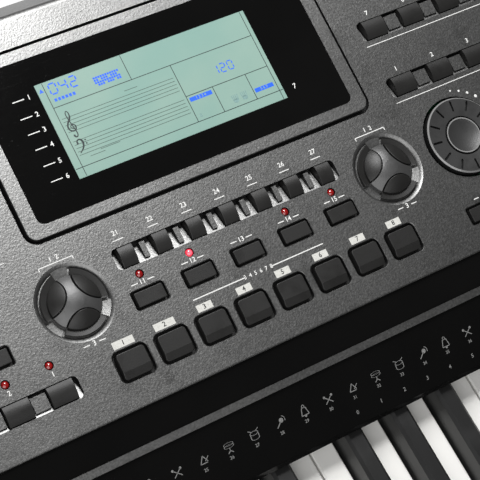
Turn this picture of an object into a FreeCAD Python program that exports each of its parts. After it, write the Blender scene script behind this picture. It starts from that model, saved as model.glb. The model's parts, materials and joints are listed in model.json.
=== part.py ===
import FreeCAD, Part
import math
import os

# Arranger keyboard with 61 keys. Millimetres, +X to the player's right,
# +Y to the back, +Z up. The origin is the centre of the footprint on the table.

V = FreeCAD.Vector

# Case
CASE_W = 1000.0
CASE_D = 410.0
CASE_H = 140.0
WALL = 3.0
FLOOR_T = 3.0
FOOT_H = 6.0
FOOT_R = 10.0
FOOT_EDGE = 1.0
FOOT_FROM_END = 60.0
FOOT_FROM_FRONT = 45.0
SEAM_Z = 45.0
SEAM_EDGE = 0.6
CORNER_R = 6.0
BASE_EDGE_R = 2.5
SIDE_EDGE_R = 2.5
JOIN_GAP = 0.2

# How far joined shapes reach into each other, how far cuts overshoot a face,
# and the share of a side that a round may take up
OVERLAP = 0.1
OVERSHOOT = 1.0
NEAR_FULL = 0.99

# Control panel: a plane that rises to the back. Places on it are given as
# U to the right, V up the slope from the memory row and W out of the panel.
PANEL_TILT = 8.0
PANEL_FRONT_V = -19.8
PANEL_BACK_V = 172.0
MEMORY_FROM_BACK = 185.0
REAR_BEVEL_DROP = 18.0
PANEL_EDGE_R = 0.8
REAR_EDGE_R = 4.0

# Strips between the panel and the keys, as distances up the slope and out of the panel
STRIP_T = 2.0
BAND_TOP_W = -1.7
BAND_LOW_W = -3.2
RIDGE_BACK_V = -35.0
RIDGE_FRONT_V = -38.6
RIDGE_W = -2.0
FASCIA_TOP_W = -3.6
FASCIA_LOW_V = -68.5
FASCIA_LOW_W = -11.0
FASCIA_CASE_V = -64.0
NOSE_V = -70.5
NOSE_DROP = 3.5
NOSE_R = 1.4

# Keys: as many octaves as fit between the end blocks. Their rear ends and the pivot
# are given as distances in front of the memory row.
KEY_PITCH = 23.5
KEY_GAP = 1.0
KEYS_CENTRE_X = 17.5
END_BLOCK_MIN_W = 50.0
KEY_FRONT_IN = 10.0
BLACK_SETBACK = 50.0
BLACK_NOTCH = 2.5
WHITE_BELOW_NOSE = 13.0
BLACK_RISE = 11.0
BLACK_TAPER = 1.5
BLACK_SLOPE = 5.0
BLACK_REAR_AT = 56.0
KEY_T = 8.0
KEY_LIP = 19.0
KEY_LIP_T = 2.6
BLACK_FOOT = 2.6
KEY_EDGE = 0.7
KEY_REAR_AT = 24.0
PIVOT_AT = 16.0
PIVOT_BELOW = 11.0
ROD_R = 2.5
ROD_PLAY = 0.35
LUG_R = 5.0
LUG_SIDE = 2.2

# Key frame
FRAME_Z = 22.0
FRAME_T = 2.0
FRAME_FRONT_IN = 7.0
FRAME_REAR_AT = 4.0
STOP_RAIL_Z = 47.0
STOP_RAIL_D = 16.0
BRACKET_T = 3.0
FRAME_RIB_T = 4.0

# Square memory buttons
MEMORY_N = 8
MEMORY_PITCH = 21.5
MEMORY_U = 1.0
MEMORY_HOLE = (17.9, 15.1)
MEMORY_HOLE_R = 3.2
MEMORY_CAP = (14.4, 12.3)
MEMORY_CAP_R = 1.6
MEMORY_RISE = 1.0
MEMORY_CREASE_V = -2.4
MEMORY_FACET_DROP = 1.5

# Flat function buttons
FUNCTION_N = 5
FUNCTION_PITCH = 26.63
FUNCTION_V = 24.93
FUNCTION_HOLE = (17.2, 9.2)
FUNCTION_HOLE_R = 1.3
FUNCTION_CAP = (14.7, 6.9)
FUNCTION_CAP_R = 0.7
FUNCTION_RISE = 0.7
LEFT_FUNCTION_U = -131.9
LEFT_FUNCTION_V = 25.5
YES_NO_U = 123.6
YES_NO_V = -2.5
PAD_U = 190.0
PAD_V = -2.5
PAD_PITCH_V = 16.5
PAD_COLUMNS = 3
PAD_ROWS = 4

# Scooped trays: first cap, count, pitch, row, cap size and rib width
TRAY_END = 2.9
TRAY_H = 10.6
TRAY_DEPTH = 4.6
TRAY_LIP = 0.8
TRAY_CORNER_R = 2.6
TRAY_FLOOR_W = -8.0
TRAY_RIM = 3.0
TRAY_RISE = 1.2
RIB_BELOW = 0.3
RIB_SHORT = 2.0
TRACK_TRAY = (-54.69, 7, 18.23, 45.7, 7.9, 9.7, 2.65)
STYLE_PITCH = 22.6
STYLE_CAPS = 6
STYLE_U = 117.7
STYLE_ROWS = (72.0, 104.0)
STYLE_CAP = (12.4, 9.4)
STYLE_RIB = 7.4
FILL_U = -110.4
FILL_PITCH = 21.5
FILL_CAPS = 6
FILL_V = 0.6

# Fit and travel that all panel buttons share
RIM_FLARE = 0.35
CAP_EDGE = 0.35
HOLE_PLAY = 0.4
FLANGE_LAP = 1.0
FLANGE_T = 1.2
SEAT_GAP = 0.25
TRAVEL = 1.0
STEM_R = 1.8

# Indicator lights
LED_V = 36.05
LED_HOLE_R = 2.15
LED_R = 1.7
LED_FLANGE_R = 3.4
LED_RISE = -0.5
FILL_LED_V = 14.2
FILL_LEDS = 4

# Round three-button clusters
CLUSTER_U = 87.0
CLUSTER_V = 35.55
DISH_R = 18.7
DISH_FLOOR_R = 16.3
DISH_DEPTH = 2.0
DISH_ROUND = 0.2
DISH_BOSS_W = -6.0
LEAF_OUTER_R = 12.7
LEAF_INNER_R = 5.0
LEAF_HALF_ANGLE = 41.5
LEAF_DIRECTIONS = (150.0, 30.0, -90.0)
LEAF_APEX_W = 5.2
LEAF_EDGE_W = 0.8
RING_R = 15.9
RING_HALF_ANGLE = 43.5
RING_TOP_W = 0.2
RING_T = 0.8
HUB_GAP = 0.5
LEAF_ROUND = 0.3
HUB_APEX_W = 4.6
HUB_EDGE_W = 0.3
LEAF_POST_R = 2.6
LEAF_POST_AT = 9.4

# Data dial
DIAL_U = 133.4
DIAL_V = 36.0
DIAL_WELL_R = 21.4
DIAL_R = 19.9
DIAL_RISE = 2.6
DIAL_CHAMFER = 0.7
DIAL_T = 6.4
DIAL_SLOTS = 12
DIAL_SLOT = (5.6, 1.1, 0.9)
DIAL_SLOT_IN_R = 13.0
DIAL_SLOT_TURN = 25.5
DIAL_RING_R = 9.3
DIAL_RING = 0.9
DIAL_RING_DEPTH = 1.4
DIAL_DIMPLE_R = 8.7
DIAL_DIMPLE = 1.5
SHAFT_R = 3.0
SHAFT_PLAY = 0.1
BUSH_R = 6.0
BUSH_H = 10.0

# Volume knob and power button
VOLUME_U = -263.0
VOLUME_V = 38.0
KNOB_R = 9.5
KNOB_H = 14.0
KNOB_FLUTES = 12
KNOB_FLUTE_R = 1.6
KNOB_FLUTE_TURN = 15.0
KNOB_LIFT = 0.5
POWER_U = -263.0
POWER_V = 84.0
POWER_R = 5.5
POWER_RISE = 1.6
POWER_TRAVEL = 1.8

# Display
ISLAND_HALF_U = 93.65
ISLAND_V = (67.45, 154.75)
ISLAND_R = 5.0
ISLAND_RISE = 1.4
GROOVE = 1.75
LEDGE_W = -4.0
LEDGE_LAP = 4.0
WINDOW_HALF_U = 86.4
WINDOW_V = (73.3, 148.9)
WINDOW_R = 3.6
WINDOW_T = 2.0
WINDOW_PLAY = 0.15
LCD_CENTRE = (-2.0, 111.1)
LCD_SIZE = (115.0, 49.0)
LCD_LAP = 1.5
LCD_T = 4.0
LCD_ROOM = 2.0
LCD_PLAY = 0.15
LCD_SUNK = 0.2

# Loudspeakers
GRILLE_IN_U = 304.0
GRILLE_FROM_END = 14.0
GRILLE_V = (4.0, 160.0)
GRILLE_R = 14.0
GRILLE_T = 2.2
GRILLE_RISE = 0.4
GRILLE_PLAY = 0.3
GRILLE_SHEET_T = 1.2
GRILLE_SLOT = (46.0, 3.0)
GRILLE_SLOT_PITCH = (53.0, 6.5)
BAFFLE_T = 3.0
SPEAKER_SHARE = 0.67
CONE_SHARE = 0.86
MAGNET_SHARE = 0.61
NECK_SHARE = 0.8
SPEAKER_DEPTH = 48.0
MAGNET_T = 16.0

# Music rest slots behind the display
REST_SLOT_U = 140.0
REST_SLOT_V = 163.5
REST_SLOT = (60.0, 7.0)
REST_SLOT_DEPTH = 12.0

# Boards, sockets and fasteners
BOARD_T = 1.6
PANEL_BOARD_W = -16.0
PANEL_BOARD_HALF_U = 288.0
PANEL_BOARD_V = (-14.0, 116.0)
BOARD_POST_R = 2.6
BOARD_POST_IN = 6.0
SWITCH = 6.0
SWITCH_H = 3.2
MAIN_BOARD_X = (-270.0, 150.0)
MAIN_BOARD_D = 100.0
MAIN_BOARD_FROM_BACK = 5.0
MAIN_BOARD_Z = 18.0
MAIN_POST_IN = 8.0
MAIN_POST_FROM_BACK = 34.0
JACK_X = (-250.0, -215.0, -180.0, -145.0, -110.0)
JACK = (14.0, 22.0, 15.0)
JACK_BORE_R = 3.25
JACK_BORE = 20.0
JACK_WALL_R = 5.5
INLET_X = -60.0
INLET = (11.0, 14.0, 12.0)
INLET_BORE_R = 2.8
INLET_BORE = 10.0
SCREW_R = 1.9
SCREW_HEAD_R = 3.8
SCREW_HEAD_T = 2.4
SCREW_L = 18.0
BOSS_R = 6.0
BOSS_Z = 20.0
POST_R = 4.6
SCREW_FROM_EDGE = 20.0
REAR_SCREW_FROM_END = 30.0
REAR_SCREW_FROM_GRILLE = 12.0
SCREW_BEFORE_NOSE = 22.0

# Pitch wheel
WHEEL_FROM_END = 45.0
WHEEL_R = 30.0
WHEEL_T = 16.0
WHEEL_EDGE_R = 1.2
WHEEL_BELOW = 22.5
WHEEL_SLOT_HALF = 26.0
WHEEL_PLAY = 1.2
AXLE_R = 3.0
AXLE_PLAY = 0.3
CRADLE_T = 3.0
BLOCK_OVER_KEYS = 2.5
BLOCK_BELOW_NOSE = 0.6

# Places that follow from the sizes above
TILT = math.radians(PANEL_TILT)
MEMORY_Z = CASE_H - PANEL_BACK_V * math.sin(TILT)
HALF_W = CASE_W / 2
HALF_D = CASE_D / 2
MEMORY_Y = HALF_D - MEMORY_FROM_BACK
FLOOR_Z = FOOT_H + FLOOR_T


def panel_yz(v, w):
    """Side-view place of a point on the panel."""
    return (MEMORY_Y + v * math.cos(TILT) - w * math.sin(TILT),
            MEMORY_Z + v * math.sin(TILT) + w * math.cos(TILT))


def panel_z(y):
    """Height of the panel's face over a place on the table."""
    return MEMORY_Z + (y - MEMORY_Y) * math.tan(TILT)


NOSE_LOW_W = FASCIA_LOW_W - NOSE_DROP
NOSE_Y, NOSE_Z = panel_yz(NOSE_V, NOSE_LOW_W)
WHITE_TOP = NOSE_Z - WHITE_BELOW_NOSE
BLACK_TOP = WHITE_TOP + BLACK_RISE
PIVOT_Z = WHITE_TOP - PIVOT_BELOW
PIVOT_Y = MEMORY_Y - PIVOT_AT
KEY_FRONT_Y = KEY_FRONT_IN - HALF_D
KEY_REAR_Y = MEMORY_Y - KEY_REAR_AT
BLACK_FRONT_Y = KEY_FRONT_Y + BLACK_SETBACK
BLACK_REAR_Y = MEMORY_Y - BLACK_REAR_AT
FRAME_FRONT_Y = KEY_FRONT_Y + FRAME_FRONT_IN
FRAME_REAR_Y = MEMORY_Y - FRAME_REAR_AT
OCTAVES = int((CASE_W - 2 * (KEYS_CENTRE_X + END_BLOCK_MIN_W) - KEY_PITCH) // (7 * KEY_PITCH))
KEYS_X0 = KEYS_CENTRE_X - (7 * OCTAVES + 1) * KEY_PITCH / 2
KEYS_X1 = KEYS_CENTRE_X + (7 * OCTAVES + 1) * KEY_PITCH / 2
UNDER_PANEL = -WALL - SEAT_GAP
UNDER_TRAY = TRAY_FLOOR_W - SEAT_GAP
SWITCH_TOP_W = PANEL_BOARD_W + SWITCH_H
STEM_END_W = SWITCH_TOP_W + TRAVEL + SEAT_GAP
GRILLE_U = (GRILLE_IN_U, HALF_W - GRILLE_FROM_END)
GRILLE_SIZE = (GRILLE_U[1] - GRILLE_U[0], GRILLE_V[1] - GRILLE_V[0])
GRILLE_CENTRE = ((GRILLE_U[0] + GRILLE_U[1]) / 2, (GRILLE_V[0] + GRILLE_V[1]) / 2)
GRILLE_SLOTS = [int((size - GRILLE_R) // pitch) for size, pitch in zip(GRILLE_SIZE, GRILLE_SLOT_PITCH)]
SPEAKER_R = SPEAKER_SHARE * min(GRILLE_SIZE) / 2
CONE_R = CONE_SHARE * SPEAKER_R
MAGNET_R = MAGNET_SHARE * SPEAKER_R
MAIN_BOARD_Y = (HALF_D - MAIN_BOARD_FROM_BACK - MAIN_BOARD_D, HALF_D - MAIN_BOARD_FROM_BACK)
WHEEL_X = WHEEL_FROM_END - HALF_W
WHEEL_Y = (NOSE_Y - HALF_D) / 2
FOOT_XY = [(x * (HALF_W - FOOT_FROM_END), y * (HALF_D - FOOT_FROM_FRONT)) for x in (-1, 1) for y in (-1, 1)]
SCREW_XY = [(side * x, HALF_D - SCREW_FROM_EDGE) for side in (-1, 1)
            for x in (GRILLE_IN_U - REAR_SCREW_FROM_GRILLE, HALF_W - REAR_SCREW_FROM_END)]
SCREW_XY += [(side * (HALF_W - SCREW_FROM_EDGE), y) for side in (-1, 1)
             for y in (SCREW_FROM_EDGE - HALF_D, NOSE_Y - SCREW_BEFORE_NOSE)]


# Solid makers
def polygon_face(points, normal_axis):
    """Flat face through points given in the plane across the named axis."""
    if normal_axis == "x":
        corners = [V(0, a, b) for a, b in points]
    elif normal_axis == "y":
        corners = [V(a, 0, b) for a, b in points]
    else:
        corners = [V(a, b, 0) for a, b in points]
    kept = []
    for corner in corners:
        if not kept or (corner - kept[-1]).Length > 1e-6:
            kept.append(corner)
    return Part.Face(Part.makePolygon(kept + [kept[0]]))


def side_prism(points, x0, x1):
    """Side-view outline carried across from x0 to x1."""
    face = polygon_face(points, "x")
    face.translate(V(x0, 0, 0))
    return face.extrude(V(x1 - x0, 0, 0))


def plan_prism(points, z0, z1):
    """Plan outline carried up from z0 to z1."""
    face = polygon_face(points, "z")
    face.translate(V(0, 0, z0))
    return face.extrude(V(0, 0, z1 - z0))


def block(x0, x1, y0, y1, z0, z1):
    return Part.makeBox(x1 - x0, y1 - y0, z1 - z0, V(x0, y0, z0))


def rod(x, y, z0, z1, radius):
    return Part.makeCylinder(radius, z1 - z0, V(x, y, z0))


def upright_edges(shape):
    return [e for e in shape.Edges if len(e.Vertexes) == 2
            and abs(e.tangentAt(e.FirstParameter).z) > 0.999]


def edges_at_z(shape, z):
    return [e for e in shape.Edges
            if abs(e.BoundBox.ZMin - z) < 1e-4 and abs(e.BoundBox.ZMax - z) < 1e-4]


def long_edges_at(shape, places):
    """Edges that run across the case at the given side-view places."""
    found = []
    for edge in shape.Edges:
        if len(edge.Vertexes) != 2 or abs(edge.tangentAt(edge.FirstParameter).x) < 0.999:
            continue
        point = edge.Vertexes[0].Point
        if any(math.hypot(point.y - y, point.z - z) < 1e-3 for y, z in places):
            found.append(edge)
    return found


def rounded_slab(u, v, width, height, radius, w0, w1):
    """Upright prism on a rectangle with rounded corners, centred on u, v."""
    slab = block(u - width / 2, u + width / 2, v - height / 2, v + height / 2, w0, w1)
    return slab.makeFillet(radius, upright_edges(slab))


def joined(shapes):
    return shapes[0].fuse(shapes[1:]).removeSplitter() if len(shapes) > 1 else shapes[0]


def to_panel(shape):
    """Carry a shape from panel directions U, V, W into the part's frame."""
    moved = shape.copy()
    moved.rotate(V(0, 0, 0), V(1, 0, 0), PANEL_TILT)
    moved.translate(V(0, MEMORY_Y, MEMORY_Z))
    return moved


def mirrored(shape):
    return shape.mirror(V(0, 0, 0), V(1, 0, 0))


def save(node, solids):
    shape = solids[0] if len(solids) == 1 else Part.makeCompound(solids)
    shape.exportStep("parts/" + node + ".step")


# Panel buttons: a cap, a wider flange below the panel that keeps it in, and a stem
def flange_and_stem(u, v, width, height, radius, under_w):
    flange = rounded_slab(u, v, width, height, radius, under_w - FLANGE_T, under_w)
    stem = rod(u, v, STEM_END_W, under_w - FLANGE_T + OVERLAP, STEM_R)
    return [flange, stem]


def function_button(u, v):
    cap = rounded_slab(u, v, FUNCTION_CAP[0], FUNCTION_CAP[1], FUNCTION_CAP_R,
                       UNDER_PANEL - FLANGE_T / 2, FUNCTION_RISE)
    cap = cap.makeFillet(CAP_EDGE, edges_at_z(cap, FUNCTION_RISE))
    keeper = flange_and_stem(u, v, FUNCTION_HOLE[0] + 2 * FLANGE_LAP,
                             FUNCTION_HOLE[1] + 2 * FLANGE_LAP, FUNCTION_HOLE_R, UNDER_PANEL)
    return joined([cap] + keeper)


def memory_button(u, v):
    half_u = MEMORY_CAP[0] / 2
    half_v = MEMORY_CAP[1] / 2
    outline = [(-half_v, UNDER_PANEL - FLANGE_T / 2), (half_v, UNDER_PANEL - FLANGE_T / 2),
               (half_v, MEMORY_RISE), (MEMORY_CREASE_V, MEMORY_RISE),
               (-half_v, MEMORY_RISE - MEMORY_FACET_DROP)]
    cap = side_prism(outline, -half_u, half_u)
    cap = cap.makeFillet(MEMORY_CAP_R, upright_edges(cap))
    rim = [e for e in cap.Edges if e.BoundBox.ZMin > MEMORY_RISE - MEMORY_FACET_DROP - 1e-4
           and not crosses_cap(e, half_u)]
    cap = cap.makeFillet(CAP_EDGE, rim)
    cap.translate(V(u, v, 0))
    keeper = flange_and_stem(u, v, MEMORY_HOLE[0] + 2 * FLANGE_LAP,
                             MEMORY_HOLE[1] + 2 * FLANGE_LAP, MEMORY_HOLE_R, UNDER_PANEL)
    return joined([cap] + keeper)


def crosses_cap(edge, half_u):
    """The crease runs from side to side through the middle of the cap."""
    return (edge.BoundBox.XMax - edge.BoundBox.XMin > 2 * half_u - 1e-3
            and abs(edge.BoundBox.YMax - MEMORY_CREASE_V) < 1e-3)


def tray_button(u, v, width, height):
    """Cap with a barrel-shaped top, higher at its back."""
    half = height / 2
    low = V(0, -half, 0)
    high = V(0, half, TRAY_RISE - CAP_EDGE)
    crown = V(0, half / 4, TRAY_RISE + CAP_EDGE)
    foot_w = UNDER_TRAY - FLANGE_T / 2
    wire = Part.Wire([Part.Arc(low, crown, high).toShape(),
                      Part.makeLine(high, V(0, half, foot_w)),
                      Part.makeLine(V(0, half, foot_w), V(0, -half, foot_w)),
                      Part.makeLine(V(0, -half, foot_w), low)])
    face = Part.Face(wire)
    face.translate(V(u - width / 2, v, 0))
    cap = face.extrude(V(width, 0, 0))
    keeper = flange_and_stem(u, v, width + 2 * HOLE_PLAY + 2 * FLANGE_LAP,
                             height + 2 * HOLE_PLAY + 2 * FLANGE_LAP, FUNCTION_CAP_R, UNDER_TRAY)
    return joined([cap] + keeper)


# Where the buttons stand
def row(first, count, pitch):
    return [first + i * pitch for i in range(count)]


MEMORY_ROW = row(MEMORY_U - (MEMORY_N - 1) * MEMORY_PITCH / 2, MEMORY_N, MEMORY_PITCH)
FUNCTION_ROW = row(-(FUNCTION_N - 1) * FUNCTION_PITCH / 2, FUNCTION_N, FUNCTION_PITCH)
LEFT_FUNCTION = [(u, LEFT_FUNCTION_V) for u in row(LEFT_FUNCTION_U, FUNCTION_N - 1, -FUNCTION_PITCH)]
YES_NO = [(u, YES_NO_V) for u in row(YES_NO_U, 2, FUNCTION_PITCH)]
KEYPAD = [(u, v) for v in row(PAD_V, PAD_ROWS, PAD_PITCH_V)
          for u in row(PAD_U, PAD_COLUMNS, FUNCTION_PITCH)]
FLAT_BUTTONS = [(u, FUNCTION_V) for u in FUNCTION_ROW] + LEFT_FUNCTION + YES_NO + KEYPAD
FILL_TRAY = (FILL_U - (FILL_CAPS - 1) * FILL_PITCH, FILL_CAPS, FILL_PITCH, FILL_V,
             STYLE_CAP[0], STYLE_CAP[1], STYLE_RIB)
VOICE_TRAYS = [(STYLE_U, STYLE_CAPS, STYLE_PITCH, v, STYLE_CAP[0], STYLE_CAP[1], STYLE_RIB)
               for v in STYLE_ROWS]
STYLE_TRAYS = [(-STYLE_U - (STYLE_CAPS - 1) * STYLE_PITCH, STYLE_CAPS, STYLE_PITCH, v,
                STYLE_CAP[0], STYLE_CAP[1], STYLE_RIB) for v in STYLE_ROWS]
TRAYS = [TRACK_TRAY, FILL_TRAY] + VOICE_TRAYS + STYLE_TRAYS
LEDS = [(FUNCTION_ROW[i], LED_V) for i in (0, 1, 3, 4)]
LEDS += [(FILL_U - i * FILL_PITCH, FILL_LED_V) for i in range(FILL_LEDS)]
CLUSTERS = [(-CLUSTER_U, CLUSTER_V), (CLUSTER_U, CLUSTER_V)]
BOARD_POSTS = [(side * (PANEL_BOARD_HALF_U - BOARD_POST_IN), v) for side in (-1, 1)
               for v in (PANEL_BOARD_V[0] + BOARD_POST_IN, PANEL_BOARD_V[1] - BOARD_POST_IN)]
BOARD_POSTS.append((FUNCTION_PITCH / 2, (FUNCTION_V + MEMORY_HOLE[1] / 4) / 2))


def tray_caps(tray):
    first, count, pitch, v, width, height, rib = tray
    return [tray_button(u, v, width, height) for u in row(first, count, pitch)]


# Top case: wall along the side-view path, side plates, and all that is let into it
def fascia_w(v):
    share = (v - RIDGE_FRONT_V) / (FASCIA_LOW_V - RIDGE_FRONT_V)
    return FASCIA_TOP_W + share * (FASCIA_LOW_W - FASCIA_TOP_W)


def band_w(v):
    share = (v - RIDGE_BACK_V) / (PANEL_FRONT_V - RIDGE_BACK_V)
    return BAND_LOW_W + share * (BAND_TOP_W - BAND_LOW_W)


BEVEL_TOP = panel_yz(PANEL_BACK_V, 0)
BEVEL_LOW = (HALF_D, BEVEL_TOP[1] - REAR_BEVEL_DROP)
CASE_PATH = [panel_yz(FASCIA_CASE_V, fascia_w(FASCIA_CASE_V) - STRIP_T),
             panel_yz(RIDGE_FRONT_V, FASCIA_TOP_W - STRIP_T),
             panel_yz(RIDGE_FRONT_V, RIDGE_W - CAP_EDGE),
             panel_yz(RIDGE_BACK_V, RIDGE_W),
             panel_yz(RIDGE_BACK_V, BAND_LOW_W - STRIP_T),
             panel_yz(PANEL_FRONT_V, BAND_TOP_W - STRIP_T),
             panel_yz(PANEL_FRONT_V, 0),
             BEVEL_TOP,
             BEVEL_LOW,
             (HALF_D, SEAM_Z)]
INNER_PATH = [(HALF_D - WALL, SEAM_Z),
              (HALF_D - WALL, BEVEL_LOW[1] - WALL / 2),
              panel_yz(PANEL_BACK_V - WALL, -WALL),
              panel_yz(PANEL_FRONT_V + WALL, -WALL),
              panel_yz(PANEL_FRONT_V, BAND_TOP_W - STRIP_T - WALL),
              panel_yz(RIDGE_FRONT_V, FASCIA_TOP_W - STRIP_T - WALL),
              panel_yz(FASCIA_CASE_V, fascia_w(FASCIA_CASE_V) - STRIP_T - WALL)]
SIDE_FRONT_Y = CASE_PATH[0][0]


def hole_tool(u, v, size, radius):
    """Cut for a flat-sided button, with a small flare at the panel's face."""
    shaft = rounded_slab(u, v, size[0], size[1], radius, -2 * WALL, 2 * WALL)
    flare = rounded_slab(u, v, size[0] + 2 * RIM_FLARE, size[1] + 2 * RIM_FLARE,
                         radius + RIM_FLARE, -RIM_FLARE, 2 * WALL)
    flare = flare.makeChamfer(RIM_FLARE * NEAR_FULL, edges_at_z(flare, -RIM_FLARE))
    return shaft.fuse(flare)


def tray_span(tray):
    first, count, pitch, v, width, height, rib = tray
    last = first + (count - 1) * pitch
    return first - width / 2 - TRAY_END, last + width / 2 + TRAY_END


def tray_boss(tray):
    u0, u1 = tray_span(tray)
    v = tray[3]
    return block(u0 - TRAY_RIM, u1 + TRAY_RIM, v - TRAY_H / 2 - TRAY_RIM,
                 v + TRAY_H / 2 + TRAY_RIM, TRAY_FLOOR_W, -WALL / 2)


def tray_tools(tray):
    """Scoop whose floor climbs to the panel's face at the front, and a hole for each cap."""
    first, count, pitch, v, width, height, rib = tray
    u0, u1 = tray_span(tray)
    low = v - TRAY_H / 2
    high = v + TRAY_H / 2
    wedge = side_prism([(low, -TRAY_LIP), (high, -TRAY_DEPTH), (high, WALL), (low, WALL)], u0, u1)
    outline = rounded_slab((u0 + u1) / 2, v, u1 - u0, TRAY_H, TRAY_CORNER_R, -TRAY_DEPTH - WALL, WALL)
    holes = [block(u - width / 2 - HOLE_PLAY, u + width / 2 + HOLE_PLAY,
                   v - height / 2 - HOLE_PLAY, v + height / 2 + HOLE_PLAY,
                   TRAY_FLOOR_W - WALL, WALL) for u in row(first, count, pitch)]
    return [wedge.common(outline)] + holes


def tray_ribs(tray):
    first, count, pitch, v, width, height, rib = tray
    half = height / 2 - RIB_SHORT / 2
    return [block(u - rib / 2, u + rib / 2, v - half, v + half, TRAY_FLOOR_W + WALL, -RIB_BELOW)
            for u in row(first + pitch / 2, count - 1, pitch)]


def dish_tool(u, v):
    """Round dish: flat floor, and a wall that rounds over into the panel."""
    middle = V((DISH_R + DISH_FLOOR_R) / 2 - DISH_ROUND, 0, -DISH_DEPTH / 2 + DISH_ROUND)
    rim = V(DISH_R, 0, 0)
    foot = V(DISH_FLOOR_R, 0, -DISH_DEPTH)
    above = V(DISH_R, 0, WALL)
    wire = Part.Wire([Part.makeLine(V(0, 0, -DISH_DEPTH), foot), Part.Arc(foot, middle, rim).toShape(),
                      Part.makeLine(rim, above), Part.makeLine(above, V(0, 0, WALL)),
                      Part.makeLine(V(0, 0, WALL), V(0, 0, -DISH_DEPTH))])
    return moved(Part.Face(wire).revolve(V(0, 0, 0), V(0, 0, 1), 360), u, v)


def screw_post(x, y, top_z):
    post = rod(x, y, BOSS_Z, top_z, POST_R)
    return post.cut(rod(x, y, BOSS_Z - OVERSHOOT, BOSS_Z + SCREW_L, SCREW_R + SHAFT_PLAY))


def side_edges(shell):
    """Edges of the two side faces from the panel's front edge over the top to the seam."""
    front_y = CASE_PATH[6][0]
    return [e for e in shell.Edges if e.BoundBox.XMax - e.BoundBox.XMin < 1e-6
            and e.BoundBox.YMax > front_y + 1e-3 and e.BoundBox.ZMax > SEAM_Z + 1e-3]


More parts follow.
